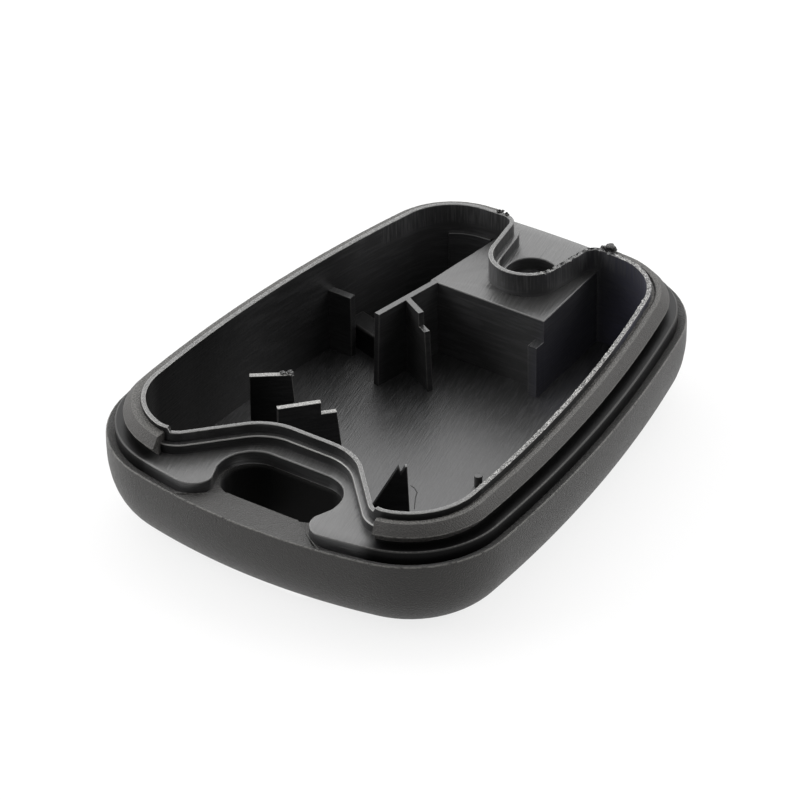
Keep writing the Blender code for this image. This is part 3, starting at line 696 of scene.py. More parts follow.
# The tray's places with a look of their own. Each is the product of masks that rise from one value to
# another along an axis or in the direction that the surface faces, or fall where the second is less.
UP = ("faces up", 0.6, 0.9)
SIDE = ("faces up", 0.9, 0.6)
PLACES = {
    "up": (UP,),
    "side": (SIDE,),
    # Level tops, painted paler: partly rubbed, partly painted light.
    "top": (UP, ("z", 0.0076, 0.0086)),
    "off tee": (("off middle", 0.0133, 0.0137),),
    "comb": (("y", 0.015, 0.016), ("z", FLANGE, FLANGE + 0.0010)),
    "flank": (("x", 0.0076, 0.0068), ("y", 0.0185, 0.0195)),
    "beside seat": (("x", 0.004, 0.009), ("y", 0.009, 0.013)),
    # Low walls, which beside the seat are made paler as painted light.
    "deep": (("z", 0.010, 0.003), SIDE),
    "rear": (("y", 0.008, 0.013), SIDE),
    # The next three get painted shade: the front left corner, the wave wall's foot and the guard's hole side.
    "corner": (("x", -0.009, -0.013), ("y", -0.001, -0.011), SIDE),
    "wave": (("y", -0.0153, -0.0158), ("z", FLANGE, FLANGE + 0.0003), SIDE),
    "hole side": (("faces right", 0.4, 0.8), ("x", -0.0075, -0.0070), ("x", -0.0015, -0.0025),
                  ("y", 0.017, 0.019), ("z", FLANGE, FLANGE + 0.0002)),
    "lip": (UP, ("z", LIP_TOP - 0.0009, LIP_TOP - 0.0007)),
    "rough side": (("x", 0.001, 0.005), ("y", -0.020, -0.012)),
    "left side": (("x", -0.0115, -0.0130),),
    "rib tops": (UP, ("x", -0.0140, -0.0135), ("y", -0.004, -0.006), ("z", 0.0079, 0.0080),
                 ("z", BOARD_STOP + 0.0002, BOARD_STOP + 0.0001)),
    "off floor": (("z", 0.0017, 0.0020),),
    "off plate": (("z", FLANGE + 0.0002, FLANGE + 0.0004),),
}

# Marks on the tray: size, stretch along the axes and turn of the noise that draws them.
BRUSH_STRETCH = (13, 1, 1)
BRUSH_TURN = math.radians(103)
DRAG_STRETCH = (20, 20, 1.4)
COMB_SIZE = 0.00016
COMB_STRETCH = (1, 1, 20)
CLOUD_SIZE = 0.006
LINE_SPAN = (0.44, 0.64)
LINE_DEPTH = 0.00003
CHALK_GRAINS = 0.8
CHALK_SPAN = (0.44, 0.58)
CHALK_BUMP = 2.0

# How much of each mark or place shows in the tray's colour, its roughness and its darkness.
# Of these tones, top and deep give painted light, and corner, hole side and shaded give painted shade.
TONES = {"rear": 2.3, "deep": 3.0, "corner": 0.3, "hole side": 0.5, "line": 2.8, "rear line": 5.5,
         "top": 0.3, "shaded": 0.35}
LINES = {"side": 0.35, "up": 0.25, "comb": 0.35}
ROUGHNESS = {"base": -0.1, "lines": 0.12, "cloud": 0.08, "level": 0.04, "rubbed": 0.1, "seat": 0.15,
             "shaded": 0.06}
METALLIC = {"painted_shade": 0.6, "shaded": 0.9}
# Share of painted shade on the wave wall and the guard's hole side, and how much less of the pocket's tint
# the level faces get.
WALL_DARK = 0.8
LEVEL_WARMTH = 0.6
# Share of the paler level tops, partly rubbed and partly painted light, and how much of it the tee's top
# keeps.
TOP_SHARE = 0.15
TEE_TOP = 0.2
LEFT_RUB = 0.2
CLEAN_RUB = 0.1
RIB_RUB = 0.95
RIB_CHALK = 0.5
# Shares of the tray's pale edge lines, partly wear and partly painted highlight, and how much of them is lost
# in painted shade and on the guard's flank.
EDGE_SHARE = 0.09
LIP_EDGE_SHARE = 0.26
SHADED_EDGE_LOSS = 0.4
FLANK_EDGE_LOSS = 0.8


def tray_places(tree, place):
    """The masks of the tray's places."""
    x, y, z = tree.axes(place)
    right, _, up = tree.facing()
    along = {"x": x, "y": y, "z": z, "off middle": tree.math("ABSOLUTE", y, 0), "faces right": right,
             "faces up": up}
    masks = {}
    for name, spans in PLACES.items():
        masks[name] = math.prod(tree.mask(along[axis], start, end) for axis, start, end in spans)
    return masks


def tray_lines(tree, place, at, looks):
    """Fine lines: brushed on the level faces, dragged down the sides and combed on the guard wall."""
    brushed = tree.noise(place, looks.brush, FINE_DETAIL, BRUSH_STRETCH, BRUSH_TURN)
    dragged = tree.noise(place, looks.brush, FINE_DETAIL, DRAG_STRETCH)
    combed = tree.noise(place, COMB_SIZE, stretch=COMB_STRETCH)
    return at["up"] * brushed + at["side"] * (at["comb"] * combed + (1 - at["comb"]) * dragged)


def tray_colour(tree, at, looks, lines, top, painted_shade, shaded):
    """The tray's colour, with its painted light and shade, under its rubbed tops and pale edges."""
    base = tree.mix(at["rear"], looks.tray, tone(looks.tray, TONES["rear"]))
    # Painted light: the pocket beside the seat gets the pale cool tint, and its low walls are paler still.
    base = tree.mix(at["beside seat"] * (1 - LEVEL_WARMTH * at["up"]), base, looks.cool)
    base = tree.mix(at["beside seat"] * at["deep"], base, tone(looks.cool, TONES["deep"]))
    # Painted shade in the front left corner and on the guard's hole side.
    for name in ("corner", "hole side"):
        base = tree.mix(at[name], base, tone(looks.tray, TONES[name]))
    ends = (tone(looks.tray, TONES[name]) for name in ("line", "rear line"))
    bright = tree.mix(at["rear"] * (1 - at["beside seat"]), *ends)
    amount = LINES["side"] + LINES["up"] * at["up"] + LINES["comb"] * at["comb"]
    base = tree.mix(tree.mask(lines, *LINE_SPAN) * amount * (1 - painted_shade), base, bright)
    # Painted light: level tops are made paler, partly as rubbing and partly as a painted reflection of the
    # light above.
    base = tree.mix(TOP_SHARE * top, base, tone(looks.wear_and_highlight, TONES["top"]))
    return tree.mix(shaded, base, tone(looks.tray, TONES["shaded"]))


def satin_plastic(name, looks):
    """The tray's plastic: drag lines on its walls, brushed lines on its floor, pale rubbed tops and painted
    light and shade.
    """
    material, tree, sockets, place = new_plastic(name)
    at = tray_places(tree, place)
    edges, shaded = tree.marks()
    lines = tray_lines(tree, place, at, looks)
    # Level tops that get painted light, with less of it near the middle, where the tee is.
    top = at["top"] * (TEE_TOP + (1 - TEE_TOP) * at["off tee"])
    # Painted shade: a darker colour and some metal where the corner, the wave wall's foot and the guard's
    # hole side lie in shade.
    painted_shade = tree.larger(at["corner"], WALL_DARK * tree.larger(at["wave"], at["hole side"]))
    rough_lip = at["rough side"] * (1 - at["flank"]) + LEFT_RUB * at["left side"]
    rubbed = tree.larger(at["lip"] * (CLEAN_RUB + (1 - CLEAN_RUB) * rough_lip), RIB_RUB * at["rib tops"])
    chalk = tree.mask(tree.noise(place, CHALK_GRAINS * looks.grain), *CHALK_SPAN)
    chalk = rubbed * tree.larger(chalk, RIB_CHALK * at["rib tops"])
    # Pale lines along the narrow edge faces: partly wear, partly painted highlight.
    edge = edges * (EDGE_SHARE * at["off floor"] + LIP_EDGE_SHARE * at["off plate"])
    edge = edge * (1 - SHADED_EDGE_LOSS * shaded) * (1 - FLANK_EDGE_LOSS * at["flank"])
    base = tray_colour(tree, at, looks, lines, top, painted_shade, shaded)
    tree.feed(sockets["Base Color"], tree.mix(tree.larger(chalk, edge), base, looks.wear_and_highlight))
    parts = {"lines": lines, "cloud": tree.noise(place, CLOUD_SIZE, FINE_DETAIL), "level": at["up"] - top,
             "rubbed": rubbed, "seat": at["beside seat"] * at["side"], "shaded": shaded}
    rough = sum(ROUGHNESS[name] * part for name, part in parts.items())
    tree.feed(sockets["Roughness"], rough + looks.tray_roughness + ROUGHNESS["base"])
    tree.feed(sockets["Metallic"], tree.larger(METALLIC["painted_shade"] * painted_shade, METALLIC["shaded"] * shaded))
    tree.feed(sockets["Normal"], tree.bump(lines * (1 - shaded) + CHALK_BUMP * chalk, LINE_DEPTH))
    return material


TRAY_PLASTIC = "tray_plastic"


def tray_material():
    return bpy.data.materials.get(TRAY_PLASTIC) or satin_plastic(TRAY_PLASTIC, bpy.context.scene.case_looks)


def finish_tray(thing, *nodes, shaded=unshaded):
    """Finish a piece of the tray's moulding."""
    finish_piece(thing, tray_material(), "satin_tray", *nodes, shaded=shaded)


# The walls' curve, and how far helpers overrun and pieces sink into what carries them.
WALL_STEPS = 26
BASE_OFFSET = -0.00215
WALL_BULGE = 0.0002
SHELL_FLOOR = 0.0006
OVERRUN = 0.0010
SINK = 0.0003


def wall_levels(top, bottom, top_offset, bulge, squareness):
    """(height, offset) pairs up a wall that starts flat, curves out and ends upright."""
    power = 2 / squareness
    pairs = []
    for k in range(WALL_STEPS, -1, -1):
        turn = QUARTER * k / WALL_STEPS
        inset_share = 1 - max(math.cos(turn), 0) ** power
        height = top - (top - bottom) * math.sin(turn) ** power
        reach = top_offset - (top_offset - BASE_OFFSET) * inset_share
        pairs.append((height, reach + bulge * math.sin(2 * turn)))
    return pairs


# The shell's ledge, ramps, collar and rim.
SHELL_SKIP = 3
RAMP = ((0.0039, -0.0250), (0.0086, -0.0279), (0.0098, -0.0268), (0.0069, -0.0236))
RAMP_FALL = 0.35
LEDGE_THICKNESS = 0.0015
LEDGE_ROUND = 0.00008
COLLAR_WALL = 0.0015
COLLAR_TOP = 0.00845
RIM_LINE = -0.0001
# Shares of the shell's pale edge line, partly wear and partly painted highlight, and of its pale crown.
SHELL_PALE = 0.3
SHELL_CROWN = 0


def case_solid(name, levels):
    """A solid that follows the case's outline, from (height, offset) pairs."""
    path = case_path()[::SHELL_SKIP]
    return loft(name, [at_level(offset(path, distance), height) for height, distance in levels])


def slot_outline(spread):
    """The key ring slot's outline, or one further out."""
    half, front, rear = SLOT_HALF + spread, SLOT_FRONT - spread, SLOT_REAR + spread
    return rounded(mirror_corners([(Vector((half, y)), SLOT_ROUND + spread) for y in (front, rear)]))


def ramp(side):
    """The slope between the ledge and the plate's lobe, which falls away from the ledge."""
    outline = [Vector((side * x, y)) for x, y in RAMP][::side]
    thing = slab("ramp", [outline], RIM - LEDGE_THICKNESS, RIM, LEDGE_ROUND)
    start, end = (Vector((side * x, y)) for x, y in RAMP[:2])
    across = (end - start).normalized().orthogonal()
    for vertex in thing.data.vertices:
        if vertex.co.z > RIM - LEDGE_THICKNESS / 2:
            vertex.co.z -= RAMP_FALL * abs((vertex.co.xy - start).dot(across))
    return thing


class KEYCASE_OT_shell(bpy.types.Operator):
    """Build the outer shell with its slot, the ledge in front of it and the screw hole"""

    bl_idname = "keycase.shell"
    bl_label = "Outer shell"

    def bowl(self, sizes, rim):
        """The shell as a full solid, up to its rounded rim."""
        r = sizes.rim_round
        levels = [(0, BASE_OFFSET - r)] + wall_levels(RIM, 0, rim, WALL_BULGE, sizes.wall_squareness)[:-1]
        levels += [(RIM - r, rim), (RIM - r / 3, rim - r / 3), (RIM, rim - r)]
        return case_solid("outer_bowl", levels)

    def cavity(self, sizes, rim, mouth):
        """What is cut out of the bowl: all but the ledge, its ramps and the collar of the slot."""
        levels = wall_levels(RIM, SHELL_FLOOR, mouth, 0, sizes.wall_squareness)[:-1]
        levels += [(RIM - sizes.rim_slope, mouth), (RIM, rim - sizes.rim_round)]
        levels.append((RIM + OVERRUN, rim + OVERRUN))
        cavity = case_solid("cavity", levels)
        front = offset(case_path()[::SHELL_SKIP], rim)[0].y
        ledge = [(LEDGE_FOOT_HALF, front), (LEDGE_HALF, SLOT_FRONT), (LEDGE_HALF, SLOT_REAR)]
        ledge = rounded(mirror_corners([(Vector(corner), 0) for corner in ledge]))
        cut(cavity, slab("ledge", [ledge], RIM - LEDGE_THICKNESS, LIP_TOP, LEDGE_ROUND))
        for side in (1, -1):
            cut(cavity, ramp(side))
        cut(cavity, slab("collar", [slot_outline(COLLAR_WALL)], -OVERRUN, COLLAR_TOP, LEDGE_ROUND))
        return cavity

    def execute(self, context):
        sizes, looks = context.scene.case_sizes, context.scene.case_looks
        mouth = sizes.flange_offset + RIM_LINE
        rim = mouth + sizes.rim_width
        shell = self.bowl(sizes, rim)
        cut(shell, self.cavity(sizes, rim, mouth))
        cut(shell, slab("slot", [slot_outline(0)], -OVERRUN, LIP_TOP, LEDGE_ROUND))
        cut(shell, slab("bore", [circle(SCREW, HOLE_RADIUS)], -OVERRUN, RIM, LEDGE_ROUND))
        material = matte_plastic("shell_plastic", looks.shell, looks.shell_roughness, looks,
                                 SHELL_PALE, SHELL_CROWN, looks.sheen)
        finish_piece(shell, material, "matte_shell", "outer_shell")
        return {"FINISHED"}


def eased(value, low, high):
    """0 below low, 1 above high and smooth between."""
    t = min(1, max(0, (value - low) / (high - low)))
    return t * t * (3 - 2 * t)


WAVE_END = 0.0118
WAVE_EASE = 0.0002
WAVE_BACK = -0.0155


def lip_level(point, sizes):
    """Top of the lip, which is lower over the wave wall."""
    across = 1 - eased(abs(point.x), WAVE_END - WAVE_EASE, WAVE_END)
    front = 1 - eased(point.y, WAVE_BACK, WAVE_BACK + WAVE_EASE)
    return LIP_TOP - sizes.wave_drop * across * front


# How rough the lip is, and the spans over which its rough right side and the guard's flank begin and end.
CLEAN_SHARE = 0.15
FLANK_SHARE = 1.1
ROUGH_SIDE_X = (0.001, 0.004)
ROUGH_SIDE_Y = (-0.019, -0.014)
ROUGH_FLANK_START_X = (0.0015, 0.0025)
ROUGH_FLANK_END_X = (0.0062, 0.0074)
ROUGH_FLANK_Y = (0.016, 0.018)
FLASH_SIZE = 0.00016
FLASH_SINK = 0.4
FLASH_APART = Vector((0, 0, 50))


def roughness_at(point):
    """How rough the lip is, from the clean wave wall to the ragged right side."""
    x, y = point
    right = eased(x, *ROUGH_SIDE_X) * eased(y, *ROUGH_SIDE_Y)
    flank = eased(x, *ROUGH_FLANK_START_X) * (1 - eased(x, *ROUGH_FLANK_END_X)) * eased(y, *ROUGH_FLANK_Y)
    return CLEAN_SHARE + (1 - CLEAN_SHARE) * right + FLANK_SHARE * flank


def strayed(station, distance, height, sizes, share_up):
    """A point of the lip, moved by the flash on it."""
    point = station.point + station.outward * distance
    place = Vector((*point, height)) / FLASH_SIZE
    reach = sizes.flash * roughness_at(point) * share_up
    aside = noise.noise(place) * reach
    rise = (noise.noise(place + FLASH_APART) - FLASH_SINK) * reach
    return Vector((*(point + station.outward * aside), height + rise))


PLATE_SKIP = 2
PLATE_LAP = 0.00012
PLATE_STRIP = 0.00115
SHADE_FADE = 0.0012


class KEYCASE_OT_tray(bpy.types.Operator):
    """Build the tray's floor and wall with its thin lip, and the plate that closes the shell"""

    bl_idname = "keycase.tray"
    bl_label = "Inner tray"

    def body(self, sizes):
        """The floor and the wall with its lip: up its inside, over the lip and down its outside."""
        path = basin_path()
        r, t = sizes.lip_round, sizes.lip
        turns = [QUARTER * k / ROUND_STEPS for k in range(ROUND_STEPS + 1)]
        rings = [at_level(offset(path, 0), level) for level in (FLOOR, FLANGE)]
        section = [(r * (1 - math.cos(a)), -r * (1 - math.sin(a)), math.sin(a)) for a in turns]
        section += [(t - r * (1 - math.sin(a)), -r * (1 - math.cos(a)), math.cos(a)) for a in turns]
        for distance, drop, loose in section:
            rings.append([strayed(s, distance, lip_level(s.point, sizes) + drop, sizes, loose) for s in path])
        rings += [at_level(offset(path, t), level) for level in (FLANGE, FLOOR)]
        rings.append(at_level(offset(path, -r), TRAY_UNDERSIDE + r))
        return loft("tray_basin", rings)

    def edge_points(self, sizes):
        return offset(case_path()[::PLATE_SKIP], sizes.flange_offset)

    def plate(self, sizes):
        """The flange round the wall, with the slot's mouth at its front."""
        basin = offset(basin_path(), PLATE_LAP)
        rim = [p for p in self.edge_points(sizes) if p.y > 0 or abs(p.x) > LOBE_HALF]
        mouth = [(Vector((NECK_HALF, LOBE_Y)), LOBE_ROUND), (Vector((NECK_HALF, NECK_Y)), NECK_ROUND),
                 (Vector((MOUTH_WAIST, MOUTH_WAIST_Y)), NECK_ROUND),
                 (Vector((MOUTH_HALF, MOUTH_REAR)), MOUTH_ROUND)]
        outline = rounded([(p, 0) for p in rim] + mirror_corners(mouth)[::-1])
        outlines = [outline, basin[::-PLATE_SKIP], circle(SCREW, HOLE_RADIUS)[::-1]]
        low = FLANGE - sizes.flange_thickness
        return slab("tray_plate", outlines, low, FLANGE, sizes.flange_round, ROUND_STEPS, PLATE_STRIP)

    def execute(self, context):
        sizes = context.scene.case_sizes
        finish_tray(self.body(sizes), "inner_tray")
        outer = self.edge_points(sizes)
        finish_tray(self.plate(sizes), shaded=lambda point: under_band(point, outer))
        return {"FINISHED"}


def under_band(point, outer):
    """How far a point of the plate lies in a band's shade: 1 at the plate's outer edge, beside the band."""
    near = min((p - point.xy).length for p in outer)
    end = BAND_FRONT if point.y < 0 else BAND_RIGHT_REAR
    return eased(abs(point.x), end - SHADE_FADE / 2, end + SHADE_FADE) if near < PLATE_STRIP + STATION else 0


TUBE_WALL = 0.0006


class KEYCASE_OT_seat(bpy.types.Operator):
    """Build the blade seat's block and the tube under the screw hole"""

    bl_idname = "keycase.seat"
    bl_label = "Blade seat"

    def block(self, sizes):
        behind = rear_stretch(SEAT_LEFT_REAR, SEAT_RIGHT_REAR)
        outline = [Vector((SEAT_LEFT_FRONT, SEAT_FRONT)), Vector((SEAT_RIGHT_FRONT, SEAT_FRONT))]
        outline += offset(behind, sizes.lip / 2)
        return slab("seat_block", [outline], FLOOR - SINK, FLANGE, sizes.seat_edge)

    def execute(self, context):
        sizes = context.scene.case_sizes
        finish_tray(self.block(sizes), "blade_seat")
        tube = [circle(SCREW, HOLE_RADIUS + TUBE_WALL), circle(SCREW, HOLE_RADIUS)[::-1]]
        low, high = TRAY_UNDERSIDE, FLANGE - sizes.flange_thickness
        finish_tray(slab("screw_tube", tube, low, high, sizes.edge))
        return {"FINISHED"}


def stretch(path, inside):
    """The one run of stations on a closed path for which a test holds."""
    start = next(k for k in range(len(path)) if inside(path[k]) and not inside(path[k - 1]))
    turned = path[start:] + path[:start]
    stop = next(k for k in range(len(turned)) if not inside(turned[k]))
    return turned[:stop]


def rear_stretch(left, right):
    """The run of the basin's rear edge between two places along X."""
    return stretch(basin_path(), lambda s: s.point.y > 0 and left < s.point.x < right)


def modifier_tree(name, inputs):
    """A geometry tree with named inputs, and a wire from each of them."""
    nodes = bpy.data.node_groups.new(name, "GeometryNodeTree")
    nodes.interface.new_socket("Geometry", in_out="OUTPUT", socket_type="NodeSocketGeometry")
    for label, kind in inputs.items():
        nodes.interface.new_socket(label, in_out="INPUT", socket_type="NodeSocket" + kind)
    entry = nodes.nodes.new("NodeGroupInput")
    tree = Tree(nodes)
    return tree, [Wire(tree, entry.outputs[label]) for label in inputs]


def close_tree(tree, geometry, material):
    realized = tree.node("GeometryNodeRealizeInstances", {}, {"Geometry": geometry})
    painted = tree.node("GeometryNodeSetMaterial", {}, {"Geometry": realized, "Material": material})
    tree.feed(tree.nodes.nodes.new("NodeGroupOutput").inputs[0], painted)
    return tree.nodes


def strip_tree():
    """Geometry nodes that draw a closed section along a path and roughen the result."""
    inputs = {"Geometry": "Geometry", "Section": "Object", "Rounding": "Float", "Stray": "Float",
              "Stray size": "Float", "Seed": "Int", "Material": "Material"}
    tree, (path, section, rounding_size, stray, stray_size, seed, material) = modifier_tree("Strip", inputs)
    rail = tree.node("GeometryNodeMeshToCurve", {}, {"Mesh": path})
    upright = tree.node("GeometryNodeSetCurveNormal", {"mode": "Z_UP"}, {"Curve": rail})
    outline = tree.node("GeometryNodeObjectInfo", {}, {"Object": section}, "Geometry")
    outline = tree.node("GeometryNodeMeshToCurve", {}, {"Mesh": outline})
    fillet = {"Curve": outline, "Count": ROUND_STEPS, "Radius": rounding_size, "Limit Radius": True}
    outline = tree.node("GeometryNodeFilletCurve", {"mode": "POLY"}, fillet)
    sockets = {"Curve": upright, "Profile Curve": outline, "Fill Caps": True}
    solid = tree.node("GeometryNodeCurveToMesh", {}, sockets)
    grain = tree.node("ShaderNodeTexNoise", {"noise_dimensions": "4D"},
                      {"W": seed, "Scale": 1 / stray_size}, "Color")
    centred = tree.node("ShaderNodeVectorMath", {"operation": "SUBTRACT"}, {0: grain, 1: (0.5, 0.5, 0.5)})
    moved = tree.node("ShaderNodeVectorMath", {"operation": "SCALE"}, {0: centred, "Scale": stray})
    solid = tree.node("GeometryNodeSetPosition", {}, {"Geometry": solid, "Offset": moved})
    return close_tree(tree, solid, material)


def run_nodes(thing, nodes, values):
    """Run a geometry tree on an object, and keep what it gives as a plain mesh with its faces outwards."""
    modifier = thing.modifiers.new("nodes", "NODES")
    modifier.node_group = nodes
    for item in nodes.interface.items_tree:
        if item.name in values:
            modifier[item.identifier] = values[item.name]
    settle(thing)
    bm = bmesh.new()
    bm.from_mesh(thing.data)
    bmesh.ops.remove_doubles(bm, verts=bm.verts, dist=MERGE)
    bmesh.ops.recalc_face_normals(bm, faces=bm.faces)
    bm.to_mesh(thing.data)
    bm.free()


def wire_object(name, points, closed):
    """An object of edges alone."""
    mesh = bpy.data.meshes.new(name)
    edges = [(k, k + 1) for k in range(len(points) - 1)] + ([(len(points) - 1, 0)] if closed else [])
    mesh.from_pydata(points, edges, [])
    thing = bpy.data.objects.new(name, mesh)
    bpy.context.scene.collection.objects.link(thing)
    return thing


STRAY_SIZE = 0.0003
STEP_STRAY = 0.00002


def strip(name, path, section, edge, stray, material):
    """A solid that follows a path. Its section is (reach, level) pairs."""
    thing = wire_object(name, at_level(offset(path, 0), 0), False)
    profile = wire_object(name + "_section", [(reach, -level, 0) for reach, level in section], True)
    values = {"Section": profile, "Rounding": edge, "Stray": stray, "Stray size": STRAY_SIZE,
              "Seed": bpy.context.scene.stage_looks.seed, "Material": material}
    run_nodes(thing, bpy.data.node_groups.get("Strip") or strip_tree(), values)
    bpy.data.objects.remove(profile)
    return thing


class KEYCASE_OT_steps(bpy.types.Operator):
    """Build the narrow steps outside the wave wall and the guard wall"""

    bl_idname = "keycase.steps"
    bl_label = "Wall steps"

    def execute(self, context):
        sizes = context.scene.case_sizes
        path = basin_path()
        middle = len(path) // 2
        around_front = path[middle:] + path[:middle]
        wave = stretch(around_front, lambda s: s.point.y < 0 and abs(s.point.x) < WAVE_END + OVERRUN)
        guard = stretch(path, lambda s: s.point.y > 0 and abs(s.point.x) < GUARD_RADIUS + FLARE_ROUNDING)
        plans = (("wave_step", wave, sizes.wave_step, sizes.wave_step_drop),
                 ("guard_step", guard, sizes.guard_step, sizes.guard_step_drop))
        for name, run, reach, drop in plans:
            low, high = FLANGE - OVERRUN, LIP_TOP - drop
            section = [(PLATE_LAP, low), (PLATE_LAP, high), (reach, high), (reach, low)]
            finish_tray(strip(name, run, section, sizes.step_round, STEP_STRAY, tray_material()))
        return {"FINISHED"}


BAND_EDGE = 0.0106
BAND_FRONT = 0.0119
BAND_LEFT_REAR = 0.0067
BAND_RIGHT_REAR = 0.0062
BAND_SINK = 0.00005
BAND_STRAY = 0.00006
# Shares of the bands' pale edge line and of their pale crown on level faces, both partly painted light.
BAND_PALE = 0.2
BAND_CROWN = 0.32
TEAR_REACH = 0.003
TEAR_SLANT = 0.25
TEAR_RAGGED = 0.0003


class KEYCASE_OT_bands(bpy.types.Operator):
    """Build the two grained bands that stand on the flange outside the lip"""

    bl_idname = "keycase.bands"
    bl_label = "Rim bands"

    def section(self, sizes, grooved):
        """A band's section as (reach, level) pairs, with or without a groove beside the lip."""
        lip, start, low = sizes.lip - PLATE_LAP, sizes.lip + sizes.band_gap, FLANGE - BAND_SINK
        foot, edge, flat = (start + w for w in (sizes.band_foot, sizes.band_width, sizes.band_flat))
        outside = [(flat, BAND_TOP), (edge, BAND_EDGE), (foot, BAND_EDGE), (foot, low), (lip, low)]
        if not grooved:
            return [(lip, BAND_TOP)] + outside
        groove = BAND_TOP - sizes.band_groove
        return [(start, groove), (start, BAND_TOP)] + outside + [(lip, groove)]

    def execute(self, context):
        sizes, looks = context.scene.case_sizes, context.scene.case_looks
        material = matte_plastic("band_plastic", looks.band, looks.band_roughness, looks,
                                 BAND_PALE, BAND_CROWN, 0)
        plans = (("left_rim_band", -1, BAND_LEFT_REAR), ("right_rim_band", 1, BAND_RIGHT_REAR))
        for name, side, rear in plans:
            run = stretch(case_path(), lambda s: band_covers(s.point, side, rear))
            band = strip(name, run, self.section(sizes, side > 0), sizes.step_round, BAND_STRAY, material)
            if side < 0:
                tear(band, run[-1])
            finish_piece(band, material, "grained_band", name)
        return {"FINISHED"}


def tear(band, end):
    """Draw the last section of a band out to a ragged slant, furthest at its outer, lower edge."""
    on = Vector((-end.outward.y, end.outward.x))
    for vertex in band.data.vertices:
        place = vertex.co.xy - end.point
        if abs(place.dot(on)) < STATION / 2 and place.length < TEAR_REACH:
            reach = place.dot(end.outward) * TEAR_SLANT + noise.noise(vertex.co / STRAY_SIZE) * TEAR_RAGGED
            vertex.co.xy += on * reach


def band_covers(point, side, rear):
    return side * point.x > (BAND_FRONT if point.y < 0 else rear)


LEVEL_GAP = 0.00001
RIBS = (
    Rib(node="side_rib", foot=Vector((-0.0127, -0.00902)), heading=math.radians(37), thickness=0.0006,
        length=0.0040, flare=0.0002, draft=0.0006, top=((0.0040, BOARD_STOP), (0, BOARD_STOP))),
    Rib(node="stepped_rib", foot=Vector((-0.0074, -0.01202)), heading=math.radians(48), thickness=0.0006,
        length=0.0057, flare=0.0002, draft=0.0007,
        top=((0.0057, 0.0082), (0.0042, 0.0082), (0.0042, BOARD_STOP), (0, BOARD_STOP))),
    Rib(node="wall_rib", foot=Vector((-0.0158, 0.00872)), heading=0, thickness=0.0008,
        length=0.0027, top=((0.0027, 0.0084), (0, 0.0084))),
    Rib(node="tee_rib", foot=Vector((-0.00685, 0.0138)), heading=math.radians(-101), thickness=0.00065,
        length=0.0080, draft=0.0003, top=((0.0080, FLANGE), (0, FLANGE))),
    Rib(node="tee_rib", foot=Vector((-0.00768, 0.00992)), heading=math.radians(-28), thickness=0.0006,
        length=0.0043, draft=0.0005,
        top=((0.0043, 0.0082), (0.0031, 0.0082), (0.0031, FLANGE - LEVEL_GAP), (0, FLANGE - LEVEL_GAP))),
    Rib(node="corner_tab", foot=Vector((0.0052, 0.0138)), heading=-QUARTER, thickness=0.0010,
        length=0.0015, top=((0.0015, 0.0073), (0, 0.0073))),
    Rib(node="notched_gusset", foot=Vector((0.00427, -0.01597)), heading=math.radians(33), thickness=0.0005,
        length=0.0048, draft=0.0003,
        top=((0.0048, FLANGE), (0.0046, FLANGE), (0.0042, 0.0089), (0.0040, FLANGE), (0, 0.0025))),
)

# The stop block, the mark left in the floor by the mould, the pip and the rear pocket's shelf.
STOP_CORNERS = ((-0.01505, 0.01032), (-0.00857, 0.00852), (-0.00814, 0.01072), (-0.01463, 0.01252))
STOP_TOP = top_of("stop_block")
STOP_EDGE = 0.00025
STOP_SHADE = 0.6
WITNESS = ((0.00385, -0.0064), (0.0044, -0.00655), (0.00502, -0.00704), (0.0053, -0.0077),
           (0.0057, -0.0084), (0.0063, -0.00939))
WITNESS_HALF = 0.00004
SQUARE = ((-1, -1), (-1, 1), (1, 1), (1, -1))
PIP = Vector((0.0092, -0.00292))
PIP_RADIUS = 0.0004
PIP_SIDES = 24
PIP_TOP = top_of("floor_pip") + 0.0003
SHELF_ENDS = (-0.0114, -0.0069)
SHELF_REACH = 0.00035
SHELF_TOP = 0.0091


def rib_side(rib):
    """A rib's side view as (along, level), anticlockwise, with its foot spread where it stands free."""
    low, spread = FLOOR - SINK, FLOOR + 2 * rib.flare
    foot = [(-rib.flare, low), (rib.length + rib.draft, low)]
    if rib.flare:
        foot = [(0, spread), (-rib.flare, FLOOR)] + foot
    return [Vector(corner) for corner in (*foot, *rib.top)]


def upright(thing, foot, heading):
    """Stand a slab up, so that its X runs along the heading, its Y up and its middle over the foot."""
    along = towards(heading)
    turn = Matrix(((along.x, 0, along.y, foot.x), (along.y, 0, -along.x, foot.y), (0, 1, 0, 0), (0, 0, 0, 1)))
    thing.data.transform(turn)


